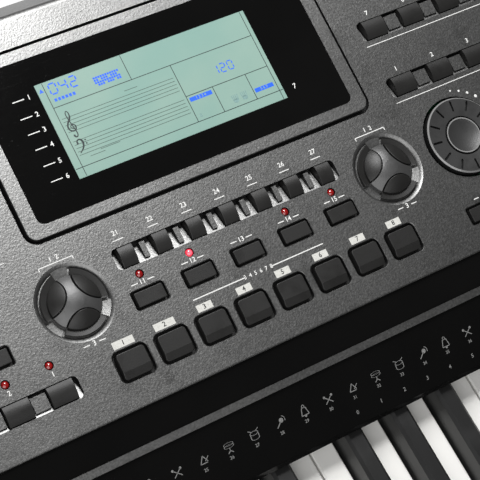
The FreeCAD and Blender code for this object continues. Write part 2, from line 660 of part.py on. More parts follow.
def top_case():
    shell = side_prism(CASE_PATH + [(SIDE_FRONT_Y, SEAM_Z)], -HALF_W, HALF_W)
    shell = shell.makeFillet(SIDE_EDGE_R, side_edges(shell))
    shell = shell.makeFillet(REAR_EDGE_R, long_edges_at(shell, [BEVEL_TOP, BEVEL_LOW]))
    shell = shell.makeFillet(PANEL_EDGE_R, long_edges_at(shell, [CASE_PATH[6]]))
    before = SIDE_FRONT_Y - OVERSHOOT
    below = SEAM_Z - OVERSHOOT
    room = INNER_PATH + [CASE_PATH[0], (before, CASE_PATH[0][1]), (before, below), (HALF_D - WALL, below)]
    shell = shell.cut(side_prism(room, -HALF_W + WALL, HALF_W - WALL))

    # Thicker places below the panel's face
    boss = [tray_boss(tray) for tray in TRAYS]
    boss += [rod(u, v, DISH_BOSS_W, -WALL / 2, DISH_R + TRAY_RIM) for u, v in CLUSTERS]
    pocket_u = ISLAND_HALF_U + GROOVE
    pocket_v = (ISLAND_V[0] - GROOVE, ISLAND_V[1] + GROOVE)
    boss.append(block(-pocket_u - TRAY_RIM, pocket_u + TRAY_RIM, pocket_v[0] - TRAY_RIM,
                      pocket_v[1] + TRAY_RIM, LEDGE_W - WALL, -WALL / 2))
    grille_u, grille_v = GRILLE_CENTRE
    grille_w, grille_h = GRILLE_SIZE
    for side in (-1, 1):
        boss.append(rounded_slab(side * grille_u, grille_v, grille_w + WALL, grille_h + WALL,
                                 GRILLE_R, -GRILLE_T - BAFFLE_T, -WALL / 2))
        boss.append(block(side * REST_SLOT_U - REST_SLOT[0] / 2 - WALL,
                          side * REST_SLOT_U + REST_SLOT[0] / 2 + WALL,
                          REST_SLOT_V - REST_SLOT[1] / 2 - WALL, REST_SLOT_V + REST_SLOT[1] / 2 + WALL,
                          -REST_SLOT_DEPTH - WALL, -WALL / 2))
    boss += [rod(u, v, PANEL_BOARD_W, -WALL / 2, BOARD_POST_R) for u, v in BOARD_POSTS]
    body = shell.fuse([to_panel(b) for b in boss])

    # Cuts from the panel's face
    tools = [hole_tool(u, v, FUNCTION_HOLE, FUNCTION_HOLE_R) for u, v in FLAT_BUTTONS]
    tools += [hole_tool(u, 0, MEMORY_HOLE, MEMORY_HOLE_R) for u in MEMORY_ROW]
    for tray in TRAYS:
        tools += tray_tools(tray)
    for u, v in LEDS:
        tools.append(rod(u, v, -2 * WALL, WALL, LED_HOLE_R))
        tools.append(rod(u, v, LEDGE_W - 2 * WALL, -WALL, LED_FLANGE_R + HOLE_PLAY))
    for u, v in CLUSTERS:
        tools.append(dish_tool(u, v))
        tools += [rod(u + x, v + y, DISH_BOSS_W - WALL, WALL, LEAF_POST_R + HOLE_PLAY)
                  for x, y in leaf_posts()]
    tools.append(rod(DIAL_U, DIAL_V, -2 * WALL, WALL, DIAL_WELL_R))
    tools.append(rod(VOLUME_U, VOLUME_V, -2 * WALL, WALL, SHAFT_R + HOLE_PLAY))
    tools.append(rod(POWER_U, POWER_V, -2 * WALL, WALL, POWER_R + 2 * HOLE_PLAY))
    middle_v = (ISLAND_V[0] + ISLAND_V[1]) / 2
    tools.append(rounded_slab(0, middle_v, 2 * pocket_u, pocket_v[1] - pocket_v[0],
                              ISLAND_R + GROOVE, LEDGE_W, WALL))
    tools.append(rounded_slab(0, middle_v, 2 * (ISLAND_HALF_U - LEDGE_LAP),
                              ISLAND_V[1] - ISLAND_V[0] - 2 * LEDGE_LAP, ISLAND_R,
                              LEDGE_W - 2 * WALL, WALL))
    for side in (-1, 1):
        tools.append(rounded_slab(side * grille_u, grille_v, grille_w, grille_h,
                                  GRILLE_R, -GRILLE_T, WALL))
        tools.append(rod(side * grille_u, grille_v, -4 * WALL, WALL, CONE_R))
        tools.append(block(side * REST_SLOT_U - REST_SLOT[0] / 2, side * REST_SLOT_U + REST_SLOT[0] / 2,
                           REST_SLOT_V - REST_SLOT[1] / 2, REST_SLOT_V + REST_SLOT[1] / 2,
                           -REST_SLOT_DEPTH, WALL))
    body = body.cut([to_panel(t) for t in tools])

    # Ribs in the trays and the posts that the case screws bite into
    extra = [to_panel(r) for tray in TRAYS for r in tray_ribs(tray)]
    extra += [screw_post(x, y, panel_z(y) - WALL / 2) for x, y in SCREW_XY if y > SIDE_FRONT_Y]
    return body.fuse(extra).Solids[0]


def leaf_posts():
    return [(LEAF_POST_AT * math.cos(math.radians(a)), LEAF_POST_AT * math.sin(math.radians(a)))
            for a in LEAF_DIRECTIONS]


# Round clusters: leaf buttons and hub are cut from shallow domes
def dome(radius, apex_w, edge_w, base_w):
    """Turned solid: flat base, short wall, and a ball-shaped top."""
    rise = apex_w - edge_w
    ball_r = (radius * radius + rise * rise) / (2 * rise)
    half = math.asin(radius / ball_r) / 2
    on_arc = V(ball_r * math.sin(half), 0, apex_w - ball_r * (1 - math.cos(half)))
    wire = Part.Wire([Part.makeLine(V(0, 0, base_w), V(radius, 0, base_w)),
                      Part.makeLine(V(radius, 0, base_w), V(radius, 0, edge_w)),
                      Part.Arc(V(radius, 0, edge_w), on_arc, V(0, 0, apex_w)).toShape(),
                      Part.makeLine(V(0, 0, apex_w), V(0, 0, base_w))])
    return Part.Face(wire).revolve(V(0, 0, 0), V(0, 0, 1), 360)


def dome_rim(solid):
    """Edges around the ball-shaped top."""
    tops = [face for face in solid.Faces if isinstance(face.Surface, Part.Sphere)]
    return tops[0].OuterWire.Edges


def leaf_circle():
    """Distance and radius of the circle that bounds a leaf towards the hub."""
    half_chord = LEAF_OUTER_R * math.sin(math.radians(LEAF_HALF_ANGLE))
    depth = LEAF_OUTER_R * math.cos(math.radians(LEAF_HALF_ANGLE)) - LEAF_INNER_R
    radius = (half_chord ** 2 + depth ** 2) / (2 * depth)
    return LEAF_INNER_R + radius, radius


def leaf_button():
    """Leaf button pointing along +U: domed leaf, low outer ring, post and catch."""
    at, radius = leaf_circle()
    ring_low = RING_TOP_W - RING_T
    leaf = dome(LEAF_OUTER_R, LEAF_APEX_W, LEAF_EDGE_W, ring_low).common(
        Part.makeCylinder(radius, 2 * DISH_R, V(at, 0, -DISH_R))).Solids[0]
    leaf = leaf.makeFillet(LEAF_ROUND, dome_rim(leaf))
    ring = Part.makeCylinder(RING_R, RING_T, V(0, 0, ring_low), V(0, 0, 1), 2 * RING_HALF_ANGLE)
    ring = ring.cut(Part.makeCylinder(LEAF_OUTER_R - RING_T, RING_T, V(0, 0, ring_low)))
    ring.rotate(V(0, 0, 0), V(0, 0, 1), -RING_HALF_ANGLE)
    outer = [e for e in edges_at_z(ring, RING_TOP_W)
             if all(end.Point.Length > RING_R - RING_T for end in e.Vertexes)]
    ring = ring.makeChamfer(LEAF_ROUND, outer)
    catch_w = DISH_BOSS_W - SEAT_GAP
    post = rod(LEAF_POST_AT, 0, STEM_END_W, ring_low + RING_T / 2, LEAF_POST_R)
    catch = rod(LEAF_POST_AT, 0, catch_w - FLANGE_T, catch_w, LEAF_POST_R + FLANGE_LAP)
    return joined([leaf, ring, post, catch])


def cluster_hub():
    at, radius = leaf_circle()
    hub = dome(LEAF_OUTER_R, HUB_APEX_W, HUB_EDGE_W, -DISH_DEPTH)
    for angle in LEAF_DIRECTIONS:
        x = at * math.cos(math.radians(angle))
        y = at * math.sin(math.radians(angle))
        hub = hub.cut(Part.makeCylinder(radius + HUB_GAP, 2 * DISH_R, V(x, y, -DISH_R)))
    hub = hub.Solids[0]
    return hub.makeFillet(LEAF_ROUND, dome_rim(hub))


def moved(shape, u, v):
    copy = shape.copy()
    copy.translate(V(u, v, 0))
    return copy


# Data dial, knob and power button
def data_dial():
    top = DIAL_RISE
    low = DIAL_RISE - DIAL_T
    bush_top = PANEL_BOARD_W + BUSH_H
    outline = [(0, low - DIAL_T), (SHAFT_R, low - DIAL_T)]
    outline += [(SHAFT_R, bush_top + SEAT_GAP), (BUSH_R, bush_top + SEAT_GAP), (BUSH_R, low)]
    outline += [(DIAL_R, low), (DIAL_R, top - DIAL_CHAMFER), (DIAL_R - DIAL_CHAMFER, top)]
    outline += [(DIAL_RING_R + DIAL_RING, top - DIAL_CHAMFER),
                (DIAL_RING_R + DIAL_RING, top - DIAL_CHAMFER - DIAL_RING_DEPTH),
                (DIAL_RING_R, top - DIAL_CHAMFER - DIAL_RING_DEPTH), (DIAL_RING_R, top - DIAL_CHAMFER / 2),
                (0, top - DIAL_CHAMFER / 2)]
    dial = polygon_face(outline, "y").revolve(V(0, 0, 0), V(0, 0, 1), 360)
    ball_r = (DIAL_DIMPLE_R ** 2 + DIAL_DIMPLE ** 2) / (2 * DIAL_DIMPLE)
    dimple = Part.makeSphere(ball_r, V(0, 0, top - DIAL_CHAMFER / 2 + ball_r - DIAL_DIMPLE))
    cuts = [dimple]
    length, width, depth = DIAL_SLOT
    for i in range(DIAL_SLOTS):
        slot = rounded_slab(DIAL_SLOT_IN_R + length / 2, 0, length, width, width / 2 * NEAR_FULL,
                            top - DIAL_CHAMFER - depth, top + depth)
        slot.rotate(V(0, 0, 0), V(0, 0, 1), DIAL_SLOT_TURN + i * 360.0 / DIAL_SLOTS)
        cuts.append(slot)
    return moved(dial.cut(cuts), DIAL_U, DIAL_V)


def volume_knob():
    low = KNOB_LIFT
    outline = [(0, SWITCH_TOP_W), (SHAFT_R, SWITCH_TOP_W), (SHAFT_R, low), (KNOB_R, low),
               (KNOB_R, low + KNOB_H / 4), (KNOB_R - DIAL_CHAMFER, KNOB_H - DIAL_CHAMFER),
               (KNOB_R - 2 * DIAL_CHAMFER, KNOB_H), (0, KNOB_H)]
    knob = polygon_face(outline, "y").revolve(V(0, 0, 0), V(0, 0, 1), 360)
    cuts = []
    for i in range(KNOB_FLUTES):
        angle = math.radians(i * 360.0 / KNOB_FLUTES + KNOB_FLUTE_TURN)
        at = KNOB_R + KNOB_FLUTE_R / 2
        cuts.append(rod(at * math.cos(angle), at * math.sin(angle), low + KNOB_H / 4,
                        KNOB_H + WALL, KNOB_FLUTE_R))
    cuts.append(block(-DIAL_RING, DIAL_RING, KNOB_R / 3, KNOB_R, KNOB_H - DIAL_RING, KNOB_H + WALL))
    return moved(knob.cut(cuts), VOLUME_U, VOLUME_V)


def power_button():
    cap = rod(POWER_U, POWER_V, UNDER_PANEL - FLANGE_T / 2, POWER_RISE, POWER_R)
    cap = cap.makeFillet(2 * CAP_EDGE, edges_at_z(cap, POWER_RISE))
    flange = rod(POWER_U, POWER_V, UNDER_PANEL - FLANGE_T, UNDER_PANEL,
                 POWER_R + 2 * HOLE_PLAY + FLANGE_LAP)
    stem = rod(POWER_U, POWER_V, SWITCH_TOP_W + POWER_TRAVEL + SEAT_GAP, UNDER_PANEL, STEM_R)
    return joined([cap, flange, stem])


def indicator_led(u, v):
    """Round lens with a low dome and a flange that stops below the panel."""
    flange_w = -WALL - SEAT_GAP
    wire = dome(LED_R, LED_RISE + LED_R / 2, LED_RISE, flange_w - FLANGE_T / 2)
    flange = rod(0, 0, flange_w - FLANGE_T, flange_w, LED_FLANGE_R)
    return moved(joined([wire, flange]), u, v)


# Display: island, window and display module stacked from the ledge up
def display_bezel():
    middle_v = (ISLAND_V[0] + ISLAND_V[1]) / 2
    island = rounded_slab(0, middle_v, 2 * ISLAND_HALF_U, ISLAND_V[1] - ISLAND_V[0], ISLAND_R,
                          LEDGE_W, ISLAND_RISE)
    island = island.makeFillet(CAP_EDGE, edges_at_z(island, ISLAND_RISE))
    seat = rounded_slab(0, (WINDOW_V[0] + WINDOW_V[1]) / 2, 2 * (WINDOW_HALF_U + WINDOW_PLAY),
                        WINDOW_V[1] - WINDOW_V[0] + 2 * WINDOW_PLAY, WINDOW_R + WINDOW_PLAY,
                        ISLAND_RISE - WINDOW_T, ISLAND_RISE + WALL)
    room = rounded_slab(LCD_CENTRE[0], LCD_CENTRE[1], LCD_SIZE[0] + 2 * LCD_LAP + 2 * LCD_ROOM,
                        LCD_SIZE[1] + 2 * LCD_LAP + 2 * LCD_ROOM, LCD_ROOM, LEDGE_W - WALL, WALL)
    return island.cut([seat, room])


def display_window():
    low = ISLAND_RISE - WINDOW_T
    window = rounded_slab(0, (WINDOW_V[0] + WINDOW_V[1]) / 2, 2 * WINDOW_HALF_U,
                          WINDOW_V[1] - WINDOW_V[0], WINDOW_R, low, ISLAND_RISE)
    return window.cut(block(LCD_CENTRE[0] - LCD_SIZE[0] / 2, LCD_CENTRE[0] + LCD_SIZE[0] / 2,
                            LCD_CENTRE[1] - LCD_SIZE[1] / 2, LCD_CENTRE[1] + LCD_SIZE[1] / 2,
                            low - WALL, ISLAND_RISE + WALL))


def lcd_panel():
    """Display module under the window, its glass standing in the window's opening."""
    top = ISLAND_RISE - WINDOW_T
    u, v = LCD_CENTRE
    half_u = LCD_SIZE[0] / 2
    half_v = LCD_SIZE[1] / 2
    module = block(u - half_u - LCD_LAP, u + half_u + LCD_LAP, v - half_v - LCD_LAP, v + half_v + LCD_LAP,
                   top - LCD_T, top)
    glass = block(u - half_u + LCD_PLAY, u + half_u - LCD_PLAY, v - half_v + LCD_PLAY, v + half_v - LCD_PLAY,
                  top - OVERLAP, ISLAND_RISE - LCD_SUNK)
    return joined([module, glass])


# Strips over the keys
def band_strip():
    back = PANEL_FRONT_V - JOIN_GAP
    front = RIDGE_BACK_V + JOIN_GAP
    return side_prism([(back, band_w(back)), (front, band_w(front)),
                       (front, band_w(front) - STRIP_T), (back, band_w(back) - STRIP_T)], -HALF_W, HALF_W)


def fascia_strip():
    back = RIDGE_FRONT_V - JOIN_GAP
    front = FASCIA_CASE_V - JOIN_GAP
    strip = side_prism([(back, fascia_w(back)), (FASCIA_LOW_V, FASCIA_LOW_W),
                        (NOSE_V, FASCIA_LOW_W - STRIP_T), (NOSE_V, NOSE_LOW_W), (front, NOSE_LOW_W),
                        (front, fascia_w(front) - STRIP_T), (back, fascia_w(back) - STRIP_T)],
                       -HALF_W, HALF_W)
    return strip.makeFillet(NOSE_R, long_edges_at(strip, [(FASCIA_LOW_V, FASCIA_LOW_W)]))


# Loudspeakers
def speaker_grille():
    u, v = GRILLE_CENTRE
    width = GRILLE_SIZE[0] - 2 * GRILLE_PLAY
    height = GRILLE_SIZE[1] - 2 * GRILLE_PLAY
    plate = rounded_slab(u, v, width, height, GRILLE_R - GRILLE_PLAY, -GRILLE_T, GRILLE_RISE)
    hollow = rounded_slab(u, v, width - 2 * WALL, height - 2 * WALL, GRILLE_R - WALL,
                          -GRILLE_T - WALL, GRILLE_RISE - GRILLE_SHEET_T)
    columns, rows = GRILLE_SLOTS
    slots = []
    for i in range(columns):
        at_u = u + (i - (columns - 1) / 2) * GRILLE_SLOT_PITCH[0]
        for j in range(rows):
            at_v = v + (j - (rows - 1) / 2) * GRILLE_SLOT_PITCH[1]
            slots.append(block(at_u - GRILLE_SLOT[0] / 2, at_u + GRILLE_SLOT[0] / 2,
                               at_v - GRILLE_SLOT[1] / 2, at_v + GRILLE_SLOT[1] / 2, -WALL, WALL))
    return plate.cut([hollow] + slots)


def speaker_driver():
    """Basket, cone and magnet as one turned solid, open to the front."""
    top = -GRILLE_T - BAFFLE_T
    back = top - SPEAKER_DEPTH
    outline = [(0, back), (MAGNET_R, back), (MAGNET_R, back + MAGNET_T),
               (NECK_SHARE * MAGNET_R, back + MAGNET_T), (CONE_R, top - WALL), (SPEAKER_R, top - WALL),
               (SPEAKER_R, top), (CONE_R, top), (MAGNET_R / 2, top - SPEAKER_DEPTH / 2),
               (0, top - SPEAKER_DEPTH / 2 + WALL)]
    turned = polygon_face(outline, "y").revolve(V(0, 0, 0), V(0, 0, 1), 360)
    return moved(turned, *GRILLE_CENTRE)


# Boards
def panel_board():
    low = PANEL_BOARD_W - BOARD_T
    board = block(-PANEL_BOARD_HALF_U, PANEL_BOARD_HALF_U, PANEL_BOARD_V[0], PANEL_BOARD_V[1],
                  low, PANEL_BOARD_W)
    pocket_u = ISLAND_HALF_U + GROOVE + 2 * TRAY_RIM
    board = board.cut(block(-pocket_u, pocket_u, ISLAND_V[0] - GROOVE - 2 * TRAY_RIM,
                            PANEL_BOARD_V[1] + WALL, low - WALL, 0))
    places = FLAT_BUTTONS + [(u, 0) for u in MEMORY_ROW] + [(POWER_U, POWER_V)]
    for tray in TRAYS:
        places += [(u, tray[3]) for u in row(tray[0], tray[1], tray[2])]
    for u, v in CLUSTERS:
        places += [(u + x, v + y) for x, y in leaf_posts()]
    half = SWITCH / 2
    parts = [block(u - half, u + half, v - half, v + half, PANEL_BOARD_W - OVERLAP, SWITCH_TOP_W)
             for u, v in places]
    bush_hole = SHAFT_R + SHAFT_PLAY
    for u, v in ((DIAL_U, DIAL_V), (VOLUME_U, VOLUME_V)):
        parts.append(rod(u, v, PANEL_BOARD_W - OVERLAP, PANEL_BOARD_W + BUSH_H, BUSH_R))
    board = board.fuse(parts)
    return board.cut([rod(u, v, low - WALL, 0, bush_hole)
                      for u, v in ((DIAL_U, DIAL_V), (VOLUME_U, VOLUME_V))]).Solids[0]


def main_board():
    return block(MAIN_BOARD_X[0], MAIN_BOARD_X[1], MAIN_BOARD_Y[0], MAIN_BOARD_Y[1],
                 MAIN_BOARD_Z - BOARD_T, MAIN_BOARD_Z)


def socket(x, size, bore_r, bore):
    """Socket on the main board, its mouth against the back wall."""
    width, depth, height = size
    mouth = HALF_D - WALL
    body = block(x - width / 2, x + width / 2, mouth - depth, mouth,
                 MAIN_BOARD_Z, MAIN_BOARD_Z + height)
    start = V(x, mouth - bore, MAIN_BOARD_Z + height / 2)
    return body.cut(Part.makeCylinder(bore_r, bore, start, V(0, 1, 0)))


# Bottom case
def bottom_case():
    outer = block(-HALF_W, HALF_W, -HALF_D, HALF_D, FOOT_H, SEAM_Z)
    outer = outer.makeFillet(CORNER_R, upright_edges(outer))
    outer = outer.makeFillet(BASE_EDGE_R, edges_at_z(outer, FOOT_H))
    outer = outer.makeChamfer(SEAM_EDGE, edges_at_z(outer, SEAM_Z))
    inner = block(-HALF_W + WALL, HALF_W - WALL, -HALF_D + WALL, HALF_D - WALL, FLOOR_Z, SEAM_Z + WALL)
    inner = inner.makeFillet(CORNER_R - WALL, upright_edges(inner))
    tray = outer.cut(inner)
    rail_top = WHITE_TOP - KEY_LIP
    rail = block(KEYS_X0 - KEY_GAP + JOIN_GAP, KEYS_X1 + KEY_GAP - JOIN_GAP,
                 -HALF_D, -HALF_D + WALL + OVERSHOOT, FLOOR_Z, rail_top)
    rail = rail.makeFillet(BASE_EDGE_R / 2, long_edges_at(rail, [(-HALF_D, rail_top)]))
    adds = [rail]
    floor = FLOOR_Z - OVERSHOOT
    for y in (FRAME_FRONT_Y + 2 * FRAME_RIB_T, FRAME_REAR_Y - 2 * FRAME_RIB_T):
        adds.append(block(KEYS_X0, KEYS_X1, y - FRAME_RIB_T / 2, y + FRAME_RIB_T / 2, floor, FRAME_Z))
    for x in (MAIN_BOARD_X[0] + MAIN_POST_IN, MAIN_BOARD_X[1] - MAIN_POST_IN):
        for y in (MAIN_BOARD_Y[0] + MAIN_POST_IN, MAIN_BOARD_Y[1] - MAIN_POST_FROM_BACK):
            adds.append(rod(x, y, floor, MAIN_BOARD_Z - BOARD_T, POST_R))
    adds += [rod(x, y, floor, BOSS_Z, BOSS_R) for x, y in SCREW_XY]
    tray = tray.fuse(adds)
    cuts = []
    for x, y in SCREW_XY:
        cuts.append(rod(x, y, 0, BOSS_Z + OVERSHOOT, SCREW_R + HOLE_PLAY))
        cuts.append(rod(x, y, 0, BOSS_Z - WALL, SCREW_HEAD_R + HOLE_PLAY))
    for x, height in [(x, JACK[2]) for x in JACK_X] + [(INLET_X, INLET[2])]:
        start = V(x, HALF_D - 2 * WALL, MAIN_BOARD_Z + height / 2)
        cuts.append(Part.makeCylinder(JACK_WALL_R, 3 * WALL, start, V(0, 1, 0)))
    return tray.cut(cuts).Solids[0]


def case_screw(x, y):
    """Pan-head screw: its head bears on the boss from below."""
    seat = BOSS_Z - WALL
    head = rod(x, y, seat - SCREW_HEAD_T, seat, SCREW_HEAD_R)
    return joined([head, rod(x, y, seat - OVERSHOOT, seat + SCREW_L, SCREW_R)])


def rubber_foot(x, y):
    foot = rod(x, y, 0, FOOT_H, FOOT_R)
    return foot.makeChamfer(FOOT_EDGE, edges_at_z(foot, 0))


# End blocks at the two ends of the keys
def end_block(x0, x1, wheel):
    front_z = WHITE_TOP + BLOCK_OVER_KEYS
    rear_z = NOSE_Z - BLOCK_BELOW_NOSE
    rear_y = SIDE_FRONT_Y - JOIN_GAP
    outline = [(-HALF_D, SEAM_Z), (-HALF_D, front_z), (NOSE_Y, rear_z), (rear_y, rear_z), (rear_y, SEAM_Z)]
    solid = side_prism(outline, x0, x1)
    outer_x = x0 if x0 < 0 else x1
    corner = [e for e in upright_edges(solid) if abs(e.Vertexes[0].Point.x - outer_x) < 1e-4
              and abs(e.Vertexes[0].Point.y + HALF_D) < 1e-4]
    brow = [e for e in solid.Edges if e.BoundBox.XMax - e.BoundBox.XMin < 1e-4
            and abs(e.BoundBox.XMin - outer_x) < 1e-4 and e.BoundBox.ZMin > SEAM_Z + 1e-4
            and e.BoundBox.YMin < -HALF_D + 1e-4]
    solid = solid.makeFillet(CORNER_R, corner + brow + long_edges_at(solid, [(-HALF_D, front_z)]))
    hollow = [(-HALF_D + WALL, SEAM_Z - WALL), (-HALF_D + WALL, front_z - WALL),
              (NOSE_Y, rear_z - WALL), (rear_y - WALL, rear_z - WALL), (rear_y - WALL, SEAM_Z - WALL)]
    solid = solid.cut(side_prism(hollow, x0 + WALL, x1 - WALL))
    slope = (rear_z - front_z) / (NOSE_Y + HALF_D)
    adds = [screw_post(x, y, front_z + slope * (y + HALF_D) - WALL / 2)
            for x, y in SCREW_XY if y < SIDE_FRONT_Y and x0 < x < x1]
    if wheel:
        half_t = WHEEL_T / 2 + WHEEL_PLAY
        solid = solid.cut(block(WHEEL_X - half_t, WHEEL_X + half_t, WHEEL_Y - WHEEL_SLOT_HALF,
                                WHEEL_Y + WHEEL_SLOT_HALF, SEAM_Z, CASE_H))
        roof = front_z + slope * (WHEEL_Y - 2 * BOSS_R + HALF_D) - WALL / 2
        for side in (-1, 1):
            a = WHEEL_X + side * half_t
            b = a + side * CRADLE_T
            cheek = block(min(a, b), max(a, b), WHEEL_Y - 2 * BOSS_R, WHEEL_Y + 2 * BOSS_R,
                          wheel_z() - 2 * BOSS_R, roof)
            start = V(min(a, b) - CRADLE_T, WHEEL_Y, wheel_z())
            adds.append(cheek.cut(Part.makeCylinder(AXLE_R + AXLE_PLAY, 4 * CRADLE_T, start, V(1, 0, 0))))
    return solid.fuse(adds).Solids[0]


def wheel_z():
    front_z = WHITE_TOP + BLOCK_OVER_KEYS
    slope = (NOSE_Z - BLOCK_BELOW_NOSE - front_z) / (NOSE_Y + HALF_D)
    return front_z + slope * (WHEEL_Y + HALF_D) - WHEEL_BELOW


def pitch_wheel():
    z = wheel_z()
    disc = Part.makeCylinder(WHEEL_R, WHEEL_T, V(WHEEL_X - WHEEL_T / 2, WHEEL_Y, z), V(1, 0, 0))
    disc = disc.makeFillet(WHEEL_EDGE_R, disc.Edges[0:1] + disc.Edges[2:3])
    over = V(WHEEL_X - WHEEL_T, WHEEL_Y, z + WHEEL_R + WHEEL_R / 6)
    dent = Part.makeCylinder(WHEEL_R / 4, 2 * WHEEL_T, over, V(1, 0, 0))
    half = WHEEL_T / 2 + WHEEL_PLAY + CRADLE_T
    axle = Part.makeCylinder(AXLE_R, 2 * half, V(WHEEL_X - half, WHEEL_Y, z), V(1, 0, 0))
    return disc.cut(dent).fuse(axle).removeSplitter()


# Keys. Three whites share five tails and four whites share seven.
NOTES = ("c", "c_sharp", "d", "d_sharp", "e", "f", "f_sharp", "g", "g_sharp", "a", "a_sharp", "b")
WHITE_INDEX = {"c": 0, "d": 1, "e": 2, "f": 3, "g": 4, "a": 5, "b": 6}


def tail_span(note):
    """Left and right edge of a note's tail, measured from the octave's left edge."""
    place = NOTES.index(note)
    if place < 5:
        width = 3 * KEY_PITCH / 5
        return place * width, (place + 1) * width
    width = 4 * KEY_PITCH / 7
    start = 3 * KEY_PITCH
    return start + (place - 5) * width, start + (place - 4) * width


def key_lug(left, right):
    """Rear lug with the bore that the pivot rod runs through."""
    lug = block(left + LUG_SIDE, right - LUG_SIDE, KEY_REAR_Y - OVERSHOOT, PIVOT_Y,
                PIVOT_Z - LUG_R, PIVOT_Z + LUG_R)
    width = right - left - 2 * LUG_SIDE
    barrel = Part.makeCylinder(LUG_R, width, V(left + LUG_SIDE, PIVOT_Y, PIVOT_Z), V(1, 0, 0))
    bore = Part.makeCylinder(ROD_R + ROD_PLAY, 2 * width, V(left, PIVOT_Y, PIVOT_Z), V(1, 0, 0))
    return lug.fuse(barrel), bore


def white_key(note, last=False):
    index = WHITE_INDEX[note]
    left = index * KEY_PITCH + KEY_GAP / 2
    right = (index + 1) * KEY_PITCH - KEY_GAP / 2
    tail_l, tail_r = tail_span(note)
    tail_l = max(left, tail_l + KEY_GAP / 2)
    tail_r = right if last else min(right, tail_r - KEY_GAP / 2)
    notch = BLACK_FRONT_Y - BLACK_NOTCH
    corners = [(left, KEY_FRONT_Y), (right, KEY_FRONT_Y), (right, notch), (tail_r, notch),
               (tail_r, KEY_REAR_Y), (tail_l, KEY_REAR_Y), (tail_l, notch), (left, notch)]
    body = plan_prism(corners, WHITE_TOP - KEY_T, WHITE_TOP)
    body = body.makeChamfer(KEY_EDGE, edges_at_z(body, WHITE_TOP))
    lip = block(left, right, KEY_FRONT_Y, KEY_FRONT_Y + KEY_LIP_T, WHITE_TOP - KEY_LIP,
                WHITE_TOP - KEY_T + OVERSHOOT)
    lug, bore = key_lug(tail_l, tail_span(note)[1] - KEY_GAP / 2)
    return body.fuse([lip, lug]).cut(bore).Solids[0]


def black_key(note):
    left, right = tail_span(note)
    left += KEY_GAP / 2
    right -= KEY_GAP / 2
    def rectangle(inset, front, z):
        a, b = left + inset, right - inset
        corners = [V(a, front, z), V(b, front, z), V(b, BLACK_REAR_Y, z), V(a, BLACK_REAR_Y, z)]
        return Part.makePolygon(corners + [corners[0]])

    crown = Part.makeLoft([rectangle(0, BLACK_FRONT_Y, WHITE_TOP - BLACK_FOOT),
                           rectangle(BLACK_TAPER, BLACK_FRONT_Y + BLACK_SLOPE, BLACK_TOP)], True, True)
    crown = crown.makeChamfer(2 * KEY_EDGE, edges_at_z(crown, BLACK_TOP))
    shank = block(left, right, BLACK_FRONT_Y, KEY_REAR_Y, WHITE_TOP - KEY_T, WHITE_TOP - BLACK_FOOT)
    lug, bore = key_lug(left, right)
    return shank.fuse([crown, lug]).cut(bore).Solids[0]


def key_group(note):
    key = white_key(note) if note in WHITE_INDEX else black_key(note)
    keys = []
    for octave in range(OCTAVES):
        copy = key.copy()
        copy.translate(V(KEYS_X0 + octave * 7 * KEY_PITCH, 0, 0))
        keys.append(copy)
    if note == "c":
        top = white_key(note, last=True)
        top.translate(V(KEYS_X0 + OCTAVES * 7 * KEY_PITCH, 0, 0))
        keys.append(top)
    return keys


def key_frame():
    """Folded channel under the keys with a stop rail, and brackets for the pivot rod."""
    end0 = KEYS_X0 - KEY_GAP + JOIN_GAP
    end1 = KEYS_X1 + KEY_GAP - JOIN_GAP
    rail_y = FRAME_FRONT_Y + STOP_RAIL_D
    outline = [(FRAME_FRONT_Y, FRAME_Z), (FRAME_REAR_Y, FRAME_Z), (FRAME_REAR_Y, PIVOT_Z),
               (FRAME_REAR_Y - FRAME_T, PIVOT_Z), (FRAME_REAR_Y - FRAME_T, FRAME_Z + FRAME_T),
               (FRAME_FRONT_Y + FRAME_T, FRAME_Z + FRAME_T),
               (FRAME_FRONT_Y + FRAME_T, STOP_RAIL_Z - FRAME_T), (rail_y, STOP_RAIL_Z - FRAME_T),
               (rail_y, STOP_RAIL_Z), (FRAME_FRONT_Y, STOP_RAIL_Z)]
    channel = side_prism(outline, end0, end1)
    brackets = []
    for x in [KEYS_X0 + i * 7 * KEY_PITCH for i in range(OCTAVES + 1)] + [KEYS_X1]:
        plate = block(max(x - BRACKET_T / 2, end0), min(x + BRACKET_T / 2, end1), PIVOT_Y - LUG_R,
                      FRAME_REAR_Y, FRAME_Z + FRAME_T / 2, PIVOT_Z + LUG_R)
        brackets.append(plate)
    frame = channel.fuse(brackets)
    bore = Part.makeCylinder(ROD_R + SHAFT_PLAY, 2 * CASE_W, V(-CASE_W, PIVOT_Y, PIVOT_Z), V(1, 0, 0))
    pivot = Part.makeCylinder(ROD_R, end1 - end0, V(end0, PIVOT_Y, PIVOT_Z), V(1, 0, 0))
    return [frame.cut(bore).Solids[0], pivot]


# Every node of the keyboard
os.makedirs("parts", exist_ok=True)
save("bottom_case", [bottom_case()])
save("top_case", [top_case()])
save("end_blocks", [end_block(-HALF_W, KEYS_X0 - KEY_GAP, True),
                    end_block(KEYS_X1 + KEY_GAP, HALF_W, False)])
save("display_bezel", [to_panel(display_bezel())])
save("display_window", [to_panel(display_window())])
save("lcd_panel", [to_panel(lcd_panel())])
save("key_fascia", [to_panel(band_strip()), to_panel(fascia_strip())])
save("speaker_grilles", [to_panel(mirrored(speaker_grille())), to_panel(speaker_grille())])
save("speaker_drivers", [to_panel(mirrored(speaker_driver())), to_panel(speaker_driver())])
save("circuit_boards", [to_panel(panel_board()), main_board()])
save("key_frame", key_frame())
sockets = [socket(x, JACK, JACK_BORE_R, JACK_BORE) for x in JACK_X]
save("rear_jacks", sockets + [socket(INLET_X, INLET, INLET_BORE_R, INLET_BORE)])
save("rubber_feet", [rubber_foot(x, y) for x, y in FOOT_XY])
save("case_screws", [case_screw(x, y) for x, y in SCREW_XY])
